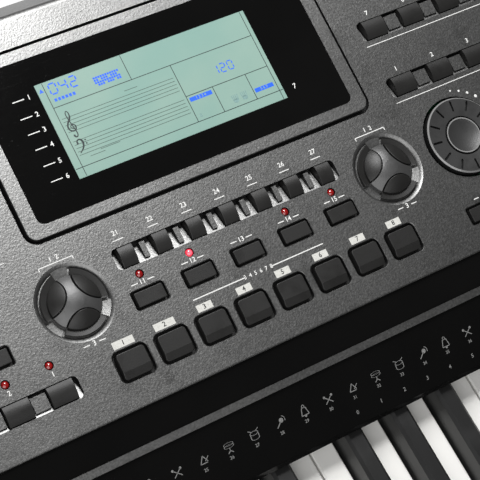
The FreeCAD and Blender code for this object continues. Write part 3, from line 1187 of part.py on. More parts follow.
save("indicator_leds", [to_panel(indicator_led(u, v)) for u, v in LEDS])
save("cluster_hubs", [to_panel(moved(cluster_hub(), u, v)) for u, v in CLUSTERS])

save("data_dial", [to_panel(data_dial())])
save("volume_knob", [to_panel(volume_knob())])
save("power_button", [to_panel(power_button())])
save("pitch_wheel", [pitch_wheel()])
for name, (u, v) in zip(("left", "right"), CLUSTERS):
    for number, angle in enumerate(LEAF_DIRECTIONS, 1):
        leaf = leaf_button()
        leaf.rotate(V(0, 0, 0), V(0, 0, 1), angle)
        save("%s_leaf_button_%d" % (name, number), [to_panel(moved(leaf, u, v))])
for number, cap in enumerate(tray_caps(TRACK_TRAY), 1):
    save("track_button_%d" % number, [to_panel(cap)])
for number, u in enumerate(FUNCTION_ROW, 1):
    save("function_button_%d" % number, [to_panel(function_button(u, FUNCTION_V))])
for number, u in enumerate(MEMORY_ROW, 1):
    save("memory_button_%d" % number, [to_panel(memory_button(u, 0))])
left_caps = [cap for tray in [FILL_TRAY] + STYLE_TRAYS for cap in tray_caps(tray)]
left_caps += [function_button(u, v) for u, v in LEFT_FUNCTION]
save("left_panel_buttons", [to_panel(cap) for cap in left_caps])
right_caps = [cap for tray in VOICE_TRAYS for cap in tray_caps(tray)]
right_caps += [function_button(u, v) for u, v in YES_NO + KEYPAD]
save("right_panel_buttons", [to_panel(cap) for cap in right_caps])
for note in NOTES:
    save("keys_" + note, key_group(note))
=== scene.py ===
import json
import math
import bmesh
import bpy
from mathutils import Matrix, Vector

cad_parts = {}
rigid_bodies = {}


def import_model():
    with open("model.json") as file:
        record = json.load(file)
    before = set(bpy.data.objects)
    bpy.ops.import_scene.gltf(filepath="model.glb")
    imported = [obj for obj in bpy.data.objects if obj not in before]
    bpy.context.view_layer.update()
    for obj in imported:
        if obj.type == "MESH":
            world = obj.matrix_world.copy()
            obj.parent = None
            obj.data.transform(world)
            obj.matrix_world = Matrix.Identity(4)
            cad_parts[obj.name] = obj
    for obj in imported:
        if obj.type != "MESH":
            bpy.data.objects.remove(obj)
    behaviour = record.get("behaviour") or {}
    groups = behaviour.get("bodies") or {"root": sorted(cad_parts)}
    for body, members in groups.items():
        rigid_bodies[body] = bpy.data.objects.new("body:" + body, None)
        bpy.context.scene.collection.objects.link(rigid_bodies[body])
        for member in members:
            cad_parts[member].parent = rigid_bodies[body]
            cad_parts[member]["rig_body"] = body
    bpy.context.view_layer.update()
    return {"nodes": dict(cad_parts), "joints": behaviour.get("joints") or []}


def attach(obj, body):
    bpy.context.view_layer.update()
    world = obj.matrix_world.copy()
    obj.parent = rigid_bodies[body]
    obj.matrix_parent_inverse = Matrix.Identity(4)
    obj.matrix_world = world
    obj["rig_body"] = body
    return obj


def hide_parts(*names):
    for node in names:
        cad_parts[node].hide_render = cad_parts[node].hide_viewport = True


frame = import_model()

# Arranger keyboard. Places on the control panel are in millimetres: U to the right,
# V up the slope from the memory row, W out of the panel.
MM = 0.001
nodes = frame["nodes"]
joints = {joint["name"]: joint for joint in frame["joints"]}
press = joints["memory_button_1_press"]["axis"]
TILT = math.atan2(press[1], -press[2])
DIAL_PLACE = Vector(joints["data_dial_turn"]["pos_m"])
DIAL_U, DIAL_V = 133.4, 36.0
SLOPE = Vector((0, math.cos(TILT), math.sin(TILT)))
ORIGIN = DIAL_PLACE - SLOPE * DIAL_V * MM
ORIGIN.x = 0
PANEL = Matrix.Translation(ORIGIN) @ Matrix.Rotation(TILT, 4, "X") @ Matrix.Scale(MM, 4)
TO_PANEL = PANEL.inverted()
OUTWARD = PANEL.to_3x3().col[2].normalized()

# Rows of the control panel: place, step and number of buttons
MEMORY_U, MEMORY_PITCH, MEMORY_N = 1.0, 21.5, 8
FUNCTION_PITCH, FUNCTION_N = 26.63, 5
TRACK_U, TRACK_PITCH, TRACK_N = -54.69, 18.23, 7
FILL_U, FILL_PITCH, FILL_N = -110.4, -21.5, 6
LEFT_FUNCTION_U, LEFT_FUNCTION_N = -131.9, 4
TRAY_U, TRAY_PITCH, TRAY_N = 117.7, 22.6, 6
TRAY_ROWS = (72.0, 104.0)
PAD_U, PAD_V, PAD_PITCH_V = 190.0, -2.5, 16.5
PAD_COLUMNS, PAD_ROWS = 3, 3
CLUSTER_U, CLUSTER_V = 87.0, 35.55
VOLUME_U, VOLUME_V = -263.0, 38.0
LIT_LED = (-26.63, 36.05)

# Heights of the display and its window; the sloped fascia over the keys, as (V, W)
LCD_W, WINDOW_W = 1.2, 1.4
FASCIA_TOP = (-38.8, -3.6)
FASCIA_LOW = (-68.5, -11.0)
KEY_PITCH = 23.5
SEMITONE = 7 * KEY_PITCH / 12
INK_T = 0.03
FULL_TURN = 2 * math.pi

# Places of the Mix node's colour sockets
MIX_FACTOR, MIX_FIRST, MIX_SECOND, MIX_RESULT = 0, 6, 7, 2


class Value:
    """A shader socket that takes part in sums and products."""

    def __init__(self, finish, socket):
        self.finish = finish
        self.socket = socket

    def __add__(self, other):
        return self.finish.calc("ADD", self, other)

    __radd__ = __add__

    def __sub__(self, other):
        return self.finish.calc("SUBTRACT", self, other)

    def __rsub__(self, other):
        return self.finish.calc("SUBTRACT", other, self)

    def __mul__(self, other):
        return self.finish.calc("MULTIPLY", self, other)

    __rmul__ = __mul__


class Finish:
    """One material: a Principled shader and the nodes that feed it."""

    def __init__(self, name, **fixed):
        self.material = bpy.data.materials.new(name)
        self.material.use_nodes = True
        self.tree = self.material.node_tree
        self.shader = self.tree.nodes["Principled BSDF"]
        self.feed(**fixed)
        self.object = self.node("ShaderNodeTexCoord", {}, {}, "Object")

    def feed(self, **sockets):
        for name, value in sockets.items():
            self.plug(self.shader.inputs[name.replace("_", " ")], value)

    def plug(self, socket, value):
        if isinstance(value, Value):
            self.tree.links.new(value.socket, socket)
        else:
            socket.default_value = value

    def node(self, kind, settings, sockets, output=0):
        made = self.tree.nodes.new(kind)
        for name, value in settings.items():
            setattr(made, name, value)
        for name, value in sockets.items():
            self.plug(made.inputs[name], value)
        return Value(self, made.outputs[output])

    def calc(self, operation, *terms):
        return self.node("ShaderNodeMath", {"operation": operation}, dict(enumerate(terms)))

    def stretched(self, scale):
        return self.node("ShaderNodeMapping", {}, {"Vector": self.object, "Scale": scale})

    def noise(self, scale, detail=2.0, rough=0.5, vector=None):
        return self.node("ShaderNodeTexNoise", {}, {
            "Vector": vector or self.object, "Scale": scale, "Detail": detail, "Roughness": rough})

    def cells(self, scale):
        return self.node("ShaderNodeTexVoronoi", {"feature": "F1"}, {
            "Vector": self.object, "Scale": scale}, "Distance")

    def ramp(self, value, low, high):
        return self.node("ShaderNodeMapRange", {"interpolation_type": "SMOOTHSTEP"}, {
            "Value": value, "From Min": low, "From Max": high})

    def mix(self, factor, first, second):
        first, second = ((*shade, 1) if isinstance(shade, tuple) else shade for shade in (first, second))
        return self.node("ShaderNodeMix", {"data_type": "RGBA"}, {
            MIX_FACTOR: factor, MIX_FIRST: first, MIX_SECOND: second}, MIX_RESULT)

    def axes(self):
        split = self.node("ShaderNodeSeparateXYZ", {}, {"Vector": self.object})
        return [Value(self, socket) for socket in split.socket.node.outputs]

    def bump(self, height, depth):
        self.feed(Normal=self.node("ShaderNodeBump", {}, {
            "Height": height, "Distance": depth, "Strength": 1.0}))


def grey(shade):
    return (shade, shade, shade)


def moulded(name, dark, light, grain, depth, rough, sheen=0.5, flake=0.0):
    """Moulded plastic, with metal flake where asked: a spark-eroded grain, cloudy tone and handling marks."""
    finish = Finish(name, Specular_IOR_Level=sheen, Metallic=flake)
    fine = finish.noise(grain, 3.0, 0.6)
    pits = finish.cells(grain * 1.3)
    cloud = finish.noise(14.0, 3.0, 0.55)
    rubbed = finish.ramp(finish.noise(60.0, 4.0, 0.65), 0.52, 0.75)
    tone = 0.6 * fine + 0.4 * cloud
    finish.feed(Base_Color=finish.mix(finish.ramp(tone, 0.3, 0.7), dark, light),
                Roughness=rough + 0.12 * fine - 0.06 * rubbed)
    finish.bump(0.65 * fine + 0.35 * pits, depth)
    return finish.material


def polished(name, dark, light, rough):
    """Polished plastic: faint swirls of fine scratches, and a little dust."""
    finish = Finish(name, Specular_IOR_Level=0.36)
    scratch = finish.noise(90.0, 4.0, 0.7, finish.stretched((1.0, 14.0, 6.0)))
    cloud = finish.noise(25.0, 2.0, 0.5)
    dust = finish.ramp(finish.noise(1900.0, 1.0, 0.4), 0.72, 0.8)
    finish.feed(Base_Color=finish.mix(0.35 * cloud + 0.2 * dust, dark, light),
                Roughness=rough + 0.04 * finish.ramp(scratch, 0.5, 0.75) + 0.15 * dust)
    finish.bump(scratch, 0.000004)
    return finish.material


def satin_cap(name, dark, light, rough, sheen):
    """Button caps: fine satin texture, tops a little polished by fingers."""
    finish = Finish(name, Specular_IOR_Level=sheen)
    fine = finish.noise(2600.0, 2.0, 0.6)
    worn = finish.ramp(finish.noise(70.0, 3.0, 0.6), 0.45, 0.7)
    cloud = finish.noise(30.0, 2.0, 0.5)
    finish.feed(Base_Color=finish.mix(0.5 * cloud + 0.3 * fine, dark, light),
                Roughness=rough + 0.1 * fine - 0.1 * worn)
    finish.bump(fine, 0.00003)
    return finish.material


def brushed(name, dark, light, rough):
    """Plated or brushed metal with drawn lines."""
    finish = Finish(name)
    lines = finish.noise(500.0, 3.0, 0.6, finish.stretched((1.0, 12.0, 12.0)))
    stain = finish.noise(120.0, 3.0, 0.6)
    finish.feed(Base_Color=finish.mix(0.6 * lines + 0.4 * stain, dark, light),
                Metallic=0.9 + 0.1 * stain,
                Roughness=rough + 0.2 * lines)
    finish.bump(lines, 0.00001)
    return finish.material


# Holes of the grille and cells of the display per metre; the offset keeps their counts above nought
HOLES_ACROSS, HOLES_ALONG, HOLE_EDGE = 260.0, 300.0, (0.3, 0.36)
CELLS_PER_M, CELL_GAP = 1600.0, (0.02, 0.12)
ABOVE_NOUGHT = 500.0


def perforated(name):
    """Painted steel sheet with staggered round holes, drawn as near-black dots of painted shade."""
    finish = Finish(name, Specular_IOR_Level=0.4)
    across, along = finish.axes()[:2]
    rows = along * HOLES_ALONG
    shift = finish.calc("PINGPONG", finish.calc("FLOOR", rows), 1.0)
    u = finish.calc("FRACT", across * HOLES_ACROSS + 0.5 * shift + ABOVE_NOUGHT) - 0.5
    v = finish.calc("FRACT", rows) - 0.5
    sheet = finish.ramp(finish.calc("SQRT", u * u + v * v), *HOLE_EDGE)
    paint = finish.noise(1500.0, 2.0, 0.5)
    # The holes are painted near-black: painted shade for the depth behind them
    finish.feed(Base_Color=finish.mix(sheet, grey(0.002), (0.045, 0.045, 0.046)),
                Roughness=0.8 - 0.35 * sheet + 0.1 * paint)
    finish.bump(sheet + 0.1 * paint, 0.0005)
    return finish.material


def ink(name, thin, full, rough=0.5, glow=0.0):
    """Screen-printed ink, slightly uneven in cover."""
    finish = Finish(name, Emission_Strength=glow, Specular_IOR_Level=0.3)
    cover = finish.noise(1400.0, 3.0, 0.6)
    shade = finish.mix(finish.ramp(cover, 0.25, 0.6), thin, full)
    finish.feed(Base_Color=shade, Roughness=rough + 0.15 * cover, Emission_Color=shade)
    finish.bump(cover, 0.000006)
    return finish.material


def display_finish(name):
    """Backlit display: an even pale teal with a fine cell grid and a soft haze."""
    finish = Finish(name, Specular_IOR_Level=0.2, Emission_Strength=0.47)
    across, along = finish.axes()[:2]
    cell_u = finish.calc("FRACT", across * CELLS_PER_M + ABOVE_NOUGHT)
    cell_v = finish.calc("FRACT", along * CELLS_PER_M + ABOVE_NOUGHT)
    grid = finish.ramp(cell_u, *CELL_GAP) * finish.ramp(cell_v, *CELL_GAP)
    haze = finish.noise(18.0, 3.0, 0.5)
    tone = 0.75 * finish.ramp(haze, 0.3, 0.7) + 0.25 * grid
    shade = finish.mix(tone, (0.13, 0.225, 0.2), (0.17, 0.25, 0.215))
    finish.feed(Base_Color=shade, Emission_Color=shade, Roughness=0.35 + 0.1 * haze)
    finish.bump(grid, 0.000004)
    return finish.material


# The lit lens: edges of its glow and of its core, and of the painted shade that darkens the sunken foot of
# all lenses, in metres
GLOW_EDGE, CORE_EDGE, SHADED_FOOT_EDGE = (0.004, 0.0035), (0.0019, 0.0006), (-0.0008, -0.0016)


def lens_finish(name):
    """Red indicator lenses, one of them lit; where a lens sinks into its hole it darkens to a painted shade.
    """
    finish = Finish(name, Specular_IOR_Level=0.6, Coat_Weight=0.8, Coat_Roughness=0.05,
                    Emission_Strength=1.2)
    lit = PANEL @ Vector((*LIT_LED, 0))
    away = finish.node("ShaderNodeVectorMath", {"operation": "DISTANCE"},
                       {0: finish.object, 1: lit}, "Value")
    height = finish.node("ShaderNodeVectorMath", {"operation": "DOT_PRODUCT"},
                         {0: finish.object, 1: OUTWARD}, "Value")
    glow = finish.ramp(away, *GLOW_EDGE)
    core = finish.ramp(away, *CORE_EDGE)
    foot = finish.ramp(height - OUTWARD.dot(ORIGIN), *SHADED_FOOT_EDGE)
    swirl = finish.noise(700.0, 2.0, 0.5)
    red = finish.mix(swirl, (0.16, 0.003, 0.003), (0.3, 0.008, 0.008))
    light = finish.mix(core, (0.8, 0.02, 0.05), (1.0, 0.2, 0.28))
    # Near-black painted shade on each lens's foot, below the panel's face
    finish.feed(Base_Color=finish.mix(foot, red, (0.004, 0.003, 0.003)),
                Roughness=0.12 + 0.1 * swirl,
                Emission_Color=finish.mix(glow, grey(0), light))
    return finish.material


def board_finish(name):
    """Circuit board: green mask over tracks, with tinned pads."""
    finish = Finish(name, Specular_IOR_Level=0.5)
    tracks = finish.ramp(finish.cells(240.0), 0.28, 0.34)
    pads = finish.ramp(finish.cells(410.0), 0.12, 0.08)
    mask = finish.mix(tracks, (0.01, 0.1, 0.04), (0.02, 0.17, 0.07))
    finish.feed(Base_Color=finish.mix(pads, mask, (0.55, 0.55, 0.5)),
                Metallic=0.8 * pads,
                Roughness=0.45 - 0.15 * pads)
    finish.bump(tracks, 0.00003)
    return finish.material


def key_finish(name, dark, light, rough, coat):
    """Key tops: polished moulding, faint length-wise polishing marks."""
    finish = Finish(name, Specular_IOR_Level=0.5, Coat_Weight=coat, Coat_Roughness=0.08)
    marks = finish.noise(350.0, 3.0, 0.6, finish.stretched((3.0, 0.25, 1.0)))
    cloud = finish.noise(12.0, 3.0, 0.55)
    touch = finish.ramp(finish.noise(45.0, 3.0, 0.6), 0.5, 0.75)
    finish.feed(Base_Color=finish.mix(0.6 * cloud + 0.2 * marks, dark, light),
                Roughness=rough + 0.08 * marks + 0.08 * touch)
    finish.bump(marks, 0.000006)
    return finish.material


# Finishes of the material slots, then those of the layers and prints added here
finishes = {
    "panel_plastic": moulded("panel_plastic", (0.14, 0.14, 0.138), (0.22, 0.22, 0.217),
                             grain=900.0, depth=0.00011, rough=0.345, flake=0.95),
    "case_plastic": moulded("case_plastic", (0.032, 0.032, 0.033), (0.055, 0.055, 0.056),
                            grain=700.0, depth=0.0002, rough=0.5),
    "black_gloss": polished("black_gloss", grey(0.002), (0.007, 0.0068, 0.0065), rough=0.06),
    "display_glass": display_finish("display_glass"),
    "grille_metal": perforated("grille_metal"),
    "speaker_metal": moulded("speaker_metal", grey(0.02), grey(0.04),
                             grain=300.0, depth=0.0002, rough=0.6),
    "board": board_finish("board"),
    "frame_plastic": moulded("frame_plastic", grey(0.08), grey(0.12),
                             grain=500.0, depth=0.0001, rough=0.5),
    "socket_plastic": moulded("socket_plastic", grey(0.014), grey(0.028),
                              grain=1200.0, depth=0.00005, rough=0.35),
    "foot_rubber": moulded("foot_rubber", grey(0.012), (0.03, 0.03, 0.029),
                           grain=900.0, depth=0.00012, rough=0.75, sheen=0.25),
    "screw_steel": brushed("screw_steel", (0.3, 0.3, 0.31), (0.55, 0.55, 0.56), rough=0.25),
    "led_red": lens_finish("led_red"),
    "hub_gloss": satin_cap("hub_gloss", grey(0.026), grey(0.046), rough=0.43, sheen=1.0),
    "dial_plastic": satin_cap("dial_plastic", grey(0.016), grey(0.03), rough=0.38, sheen=0.9),
    "button_plastic": satin_cap("button_plastic", (0.009, 0.0088, 0.0084), (0.018, 0.0176, 0.017),
                                rough=0.42, sheen=0.36),
    "wheel_rubber": moulded("wheel_rubber", grey(0.012), grey(0.03),
                            grain=1300.0, depth=0.00008, rough=0.6, sheen=0.3),
    "key_white": key_finish("key_white", (0.78, 0.77, 0.74), (0.85, 0.845, 0.82), rough=0.2, coat=0.3),
    "key_black": key_finish("key_black", grey(0.008), grey(0.018), rough=0.32, coat=0.1),
}
white_ink = ink("white_ink", (0.56, 0.56, 0.55), (0.7, 0.7, 0.68))
plate_ink = ink("plate_ink", (0.45, 0.448, 0.42), (0.55, 0.547, 0.515))
dark_ink = ink("dark_ink", grey(0.06), grey(0.025))
grey_ink = ink("grey_ink", grey(0.11), (0.2, 0.2, 0.195))
segment_ink = ink("segment_ink", (0.015, 0.1, 0.5), (0.01, 0.08, 0.55), rough=0.4, glow=0.3)
staff_ink = ink("staff_ink", (0.03, 0.045, 0.045), (0.012, 0.02, 0.02), rough=0.4)
faint_ink = ink("faint_ink", (0.2, 0.32, 0.3), (0.15, 0.25, 0.24), rough=0.4)
# Near-black painted shade for walls and floors inside the panel's cut-outs, pocket and well
painted_shade_black = moulded("painted_shade_black", grey(0.003), grey(0.007), grain=900.0, depth=0.0001, rough=0.5)
dish_paint = moulded("dish_paint", (0.16, 0.16, 0.158), (0.25, 0.25, 0.247),
                     grain=900.0, depth=0.00008, rough=0.38, flake=0.95)
# A lighter line on the dial's edges: painted highlight
painted_highlight_edge = satin_cap("painted_highlight_edge", (0.16, 0.16, 0.158), (0.26, 0.26, 0.257), rough=0.3, sheen=0.9)
nut_metal = brushed("nut_metal", (0.45, 0.45, 0.46), (0.7, 0.7, 0.71), rough=0.2)

# An edge stays crisp at a sharp turn, and where a large flat patch meets a much smaller one
CRISP_TURN = math.radians(16)
FLAT_TURN = math.radians(0.4)
FLAT_AREA = 20 * MM * MM
FLAT_SHARE = 6


def flat_patches(shape):
    """The area of the flat patch that each face belongs to."""
    areas = {}
    for seed in shape.faces:
        if seed in areas:
            continue
        patch, waiting = {seed}, [seed]
        while waiting:
            for edge in waiting.pop().edges:
                if edge.is_manifold and edge.calc_face_angle(0) < FLAT_TURN:
                    fresh = [face for face in edge.link_faces if face not in patch]
                    patch.update(fresh)
                    waiting.extend(fresh)
        area = sum(face.calc_area() for face in patch)
        areas.update((face, area) for face in patch)
    return areas


def crisp_edges(shape):
    """Smooth over rounds; crisp at sharp turns and where a flat face meets a round."""
    areas = flat_patches(shape)
    for face in shape.faces:
        face.smooth = True
    for edge in shape.edges:
        turn = edge.calc_face_angle(math.pi)
        small, large = sorted(areas[face] for face in edge.link_faces) if edge.is_manifold else (0, 0)
        meets_flat = turn > FLAT_TURN and large > FLAT_AREA and large > FLAT_SHARE * small
        edge.smooth = turn < CRISP_TURN and not meets_flat


def place_mesh(name, shape, *layers):
    """Makes a finished mesh object; a face's material index picks its layer."""
    crisp_edges(shape)
    mesh = bpy.data.meshes.new(name)
    shape.to_mesh(mesh)
    shape.free()
    for layer in layers:
        mesh.materials.append(layer)
    made = bpy.data.objects.new(name, mesh)
    bpy.context.collection.objects.link(made)
    return made


def fitted(name, shape, finish, place=PANEL):
    """Puts a shape made in millimetres, of the panel unless said, on the case."""
    shape.transform(place)
    made = place_mesh(name, shape, finish)
    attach(made, "case")


# The paint lies on the panel's face and, rougher, in its round dishes: walls and floors inside its cut-outs,
# the display's pocket and the dial's well are painted near-black as painted shade
SHADE_LAYER, EXTRA_LAYER = 1, 2
PAINTED_NODES = ("top_case", "display_bezel")
PAINT_HALF_U, PAINT_V = 300.0, (-30.0, 158.0)
WALL_LEVEL, BELOW_FACE = 0.35, -0.02
POCKET_HALF_U, POCKET_V, POCKET_W = 95.6, (65.5, 156.7), -2.0
WELL_R, WELL_W = 21.5, -0.5
DISH_R = 18.8


def bare_walls(shape):
    """Picks the painted-shade layer for walls and floors below the panel's face, the extra one for dishes."""
    for face in shape.faces:
        u, v, w = TO_PANEL @ face.calc_center_median()
        wall = abs(face.normal.dot(OUTWARD)) < WALL_LEVEL and w < BELOW_FACE
        pocket = abs(u) < POCKET_HALF_U and POCKET_V[0] < v < POCKET_V[1] and w < POCKET_W
        well = math.hypot(u - DIAL_U, v - DIAL_V) < WELL_R and w < WELL_W
        dish = math.hypot(abs(u) - CLUSTER_U, v - CLUSTER_V) < DISH_R and w < BELOW_FACE
        on_panel = abs(u) < PAINT_HALF_U and PAINT_V[0] < v < PAINT_V[1]
        if on_panel and (wall or pocket or well):
            face.material_index = SHADE_LAYER
        elif dish:
            face.material_index = EXTRA_LAYER


# Radii of the dial's painted highlight lines; radius and height past which its faces get painted shade
DIAL_EDGE_R, DIAL_DISC_R, DIAL_GROOVE_R, DIAL_FLOOR_W = 19.2, (8.72, 9.3), 9.3, 1.3


def recess_dial(shape):
    """Painted shade in black on the dial's wall, slots and ring groove, and a painted highlight line on its
    edges.
    """
    for face in shape.faces:
        u, v, w = TO_PANEL @ face.calc_center_median()
        out = math.hypot(u - DIAL_U, v - DIAL_V)
        if face.normal.dot(OUTWARD) < WALL_LEVEL or (out > DIAL_GROOVE_R and w < DIAL_FLOOR_W):
            face.material_index = SHADE_LAYER
        elif out > DIAL_EDGE_R or DIAL_DISC_R[0] < out < DIAL_DISC_R[1]:
            face.material_index = EXTRA_LAYER


RING_R, RING_IN_R, RING_TOP_W, RING_FALL = 15.6, 12.7, 0.2, 0.65
RING_NEAR = 0.02


def hollow_ring(shape, node):
    """Slopes the low ring of a leaf button towards its hub."""
    side = -1 if node.startswith("left") else 1
    for vert in shape.verts:
        place = TO_PANEL @ vert.co
        out = math.hypot(place.x - side * CLUSTER_U, place.y - CLUSTER_V)
        if abs(place.z - RING_TOP_W) < RING_NEAR and out < RING_R - RING_NEAR:
            place.z -= RING_FALL * min(1, (RING_R - out) / (RING_R - RING_IN_R))
            vert.co = PANEL @ place


# Soft edges in millimetres, by family of nodes; welding in metres
SOFT_EDGED = {"memory_button": 0.22, "function_button": 0.2, "track_button": 0.2}
WELD_GAP = 2e-6
SAME_FLAT_TURN = math.radians(1)
RIM_TURN = math.radians(25)
FLAT_WEIGHT = 90


def dressed(node, finish, edge):
    """A welded copy of a moulded piece with smooth rounds, and a soft edge where asked."""
    shape = bmesh.new()
    shape.from_mesh(nodes[node].data)
    bmesh.ops.remove_doubles(shape, verts=shape.verts, dist=WELD_GAP)
    if edge:
        bmesh.ops.dissolve_limit(shape, angle_limit=SAME_FLAT_TURN, verts=shape.verts, edges=shape.edges)
        rims = [rim for rim in shape.edges if rim.is_manifold and rim.calc_face_angle_signed() > RIM_TURN]
        bmesh.ops.bevel(shape, geom=rims, offset=edge * MM, offset_type="OFFSET", segments=2, profile=0.5,
                        affect="EDGES", clamp_overlap=True, material=-1)
    layers = [finish]
    # Painted shade inside the panel's cut-outs, a rougher paint in its dishes
    if node in PAINTED_NODES:
        bare_walls(shape)
        layers += [painted_shade_black, dish_paint]
    # Painted shade in the dial's recesses and a painted highlight on its edges
    if node == "data_dial":
        recess_dial(shape)
        layers += [painted_shade_black, painted_highlight_edge]
    if "leaf" in node:
        hollow_ring(shape, node)
    made = place_mesh("dressed_" + node, shape, *layers)
    even = made.modifiers.new("even_shading", "WEIGHTED_NORMAL")
    even.mode = "FACE_AREA"
    even.weight = FLAT_WEIGHT
    even.keep_sharp = True
    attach(made, nodes[node]["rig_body"])
    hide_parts(node)


for node in sorted(nodes):
    slot = nodes[node].data.materials[0].name
    family = node.rstrip("_0123456789")
    dressed(node, finishes[slot], SOFT_EDGED.get(family, 0.0))


def bar(shape, start, end, width, low):
    """A thin straight bar of ink between two points of the panel."""
    start, end = Vector(start), Vector(end)
    run = end - start
    place = Matrix.Translation((*((start + end) / 2), low + INK_T / 2))
    place @= Matrix.Rotation(math.atan2(run.y, run.x), 4, "Z")
    place @= Matrix.Diagonal((run.length, width, INK_T, 1))
    bmesh.ops.create_cube(shape, size=1, matrix=place)


def plate(shape, u, v, size, low=0.0):
    """A level bar with its middle at (u, v)."""
    bar(shape, (u - size[0] / 2, v), (u + size[0] / 2, v), size[1], low)


def path(shape, points, width, low=0.0):
    """Bars from point to point."""
    for start, end in zip(points, points[1:]):
        bar(shape, start, end, width, low)


def disc(shape, u, v, r, low=0.0, sides=16, squash=1.0):
    """A round dot of ink, or one with few sides."""
    place = Matrix.Translation((u, v, low + INK_T / 2)) @ Matrix.Diagonal((1, squash, 1, 1))
    bmesh.ops.create_cone(shape, cap_ends=True, segments=sides, radius1=r, radius2=r, depth=INK_T,
                          matrix=place)


def ring(shape, u, v, r, width, sides=20, squash=1.0, span=FULL_TURN, turn=0.0):
    """A thin ring or arc, swept round its centre."""
    strip = bmesh.new()
    profile = ((r, 0, 0), (r + width, 0, 0), (r + width, 0, INK_T), (r, 0, INK_T))
    corners = [strip.verts.new(at) for at in profile]
    outline = [strip.edges.new(pair) for pair in zip(corners, corners[1:] + corners[:1])]
    bmesh.ops.spin(strip, geom=corners + outline, cent=(0, 0, 0), axis=(0, 0, 1), angle=span,
                   steps=sides, use_merge=span == FULL_TURN)
    bmesh.ops.holes_fill(strip, edges=strip.edges, sides=4)
    bmesh.ops.recalc_face_normals(strip, faces=strip.faces)
    strip.transform(Matrix.Translation((u, v, 0)) @ Matrix.Diagonal((1, squash, 1, 1))
                    @ Matrix.Rotation(turn, 4, "Z"))
    join(shape, strip)


def join(shape, other):
    """Adds one shape to another."""
    mesh = bpy.data.meshes.new("joined")
    other.to_mesh(mesh)
    other.free()
    shape.from_mesh(mesh)
    bpy.data.meshes.remove(mesh)


def join_curve(shape, curve, place):
    """Adds a text or curve to a shape."""
    holder = bpy.data.objects.new(curve.name, curve)
    bpy.context.collection.objects.link(holder)
    solid = holder.evaluated_get(bpy.context.evaluated_depsgraph_get())
    mesh = bpy.data.meshes.new_from_object(solid)
    bpy.data.objects.remove(holder)
    bpy.data.curves.remove(curve)
    mesh.transform(place)
    shape.from_mesh(mesh)
    bpy.data.meshes.remove(mesh)


# Digits: their height as a share of the font's size, and their added weight as a share of the height
DIGIT_SHARE, DIGIT_WEIGHT = 0.69, 0.02


def number(shape, digits, u, v, height, low=0.0):
    """Prints plain digits, of the given height, as a thin layer of ink."""
    curve = bpy.data.curves.new("digits", "FONT")
    curve.body = digits
    curve.size = height / DIGIT_SHARE
    curve.align_x = "CENTER"
    curve.align_y = "CENTER"
    curve.resolution_u = 2
    curve.offset = DIGIT_WEIGHT * height
    curve.extrude = INK_T / 2
    join_curve(shape, curve, Matrix.Translation((u, v, low + INK_T / 2)))


STROKE_FLATNESS = 0.1


def stroke(shape, points, u, v, scale, low):
    """A pen stroke through points of (x, y, half width), flattened to ink."""
    curve = bpy.data.curves.new("stroke", "CURVE")
    curve.dimensions = "3D"
    curve.bevel_depth = 1.0
    curve.bevel_resolution = 1
    curve.use_fill_caps = True
    line = curve.splines.new("NURBS")
    line.points.add(len(points) - 1)
    for point, (x, y, half) in zip(line.points, points):
        point.co = (x, y, 0, 1)
        point.radius = half
    line.use_endpoint_u = True
    line.order_u = 3
    line.resolution_u = 4
    flattened = Matrix.Diagonal((scale, scale, STROKE_FLATNESS, 1))
    join_curve(shape, curve, Matrix.Translation((u, v, low)) @ flattened)


# White print on the panel: plain numbers, rules and brackets
DIGIT_H, LARGE_DIGIT_H, DASH_T = 2.3, 2.4, 0.45
PLATE_SHIFT, PLATE_V, PLATE_H = -0.7, 10.3, 3.5
WIDE_PLATES, PLATE_WIDE, PLATE_NARROW = 2, 10.8, 8.1
FUNCTION_PRINT_V, FUNCTION_PRINT_SHIFT, FUNCTION_FIRST = 32.2, -0.4, 11
FUNCTION_DASH_SHIFTS, FUNCTION_DASH = (-4.6, 3.9), 3.4
TRACK_PRINT_V, TRACK_PRINT_SHIFT, TRACK_FIRST = 57.7, -0.6, 21
TRACK_RULE_V, TRACK_RULE = 54.3, (5.5, 0.4)
GROUP_V, GROUP_RULES, GROUP_RULE_T, GROUP_DIGIT_H = 14.9, ((-35.7, -7.0), (7.0, 36.6)), 0.5, 1.9
BRACKET_HALF_U, BRACKET_V, BRACKET_T = 8.6, (54.1, 55.6), 0.4
BRACKET_PRINT_V, BRACKET_DIGIT_H = 57.8, 2.2
CLUSTER_PRINT_V, CLUSTER_DASH_SHIFTS, CLUSTER_DASH = 15.2, (-4.0, 4.0), 3.2
TRAY_PRINT_UP, TRAY_RULE_UP, TRAY_RULE_PAST, TRAY_RULE_T = 8.6, -8.0, 9, 0.35
FILL_PRINT_V = 9.9
LEFT_FUNCTION_PRINT_V, LEFT_FUNCTION_FIRST = 33.0, 31
PAD_PRINT_UP = 7.4
MINUS_U, PLUS_U, STEP_SIGN_V, STEP_SIGN, STEP_SIGN_T = 123.6, 150.23, 4.7, 3.0, 0.5
print_white = bmesh.new()
print_plates = bmesh.new()
print_dark = bmesh.new()
for i in range(MEMORY_N):
    u = MEMORY_U + (i - (MEMORY_N - 1) / 2) * MEMORY_PITCH + PLATE_SHIFT
    wide = PLATE_WIDE if i < WIDE_PLATES else PLATE_NARROW
    plate(print_plates, u, PLATE_V, (wide, PLATE_H))
    number(print_dark, str(i + 1), u, PLATE_V, DIGIT_H, INK_T)
for i in range(FUNCTION_N):
    u = (i - (FUNCTION_N - 1) / 2) * FUNCTION_PITCH
    number(print_white, str(FUNCTION_FIRST + i), u + FUNCTION_PRINT_SHIFT, FUNCTION_PRINT_V, DIGIT_H)
    for shift in FUNCTION_DASH_SHIFTS:
        plate(print_white, u + shift, FUNCTION_PRINT_V, (FUNCTION_DASH, DASH_T))
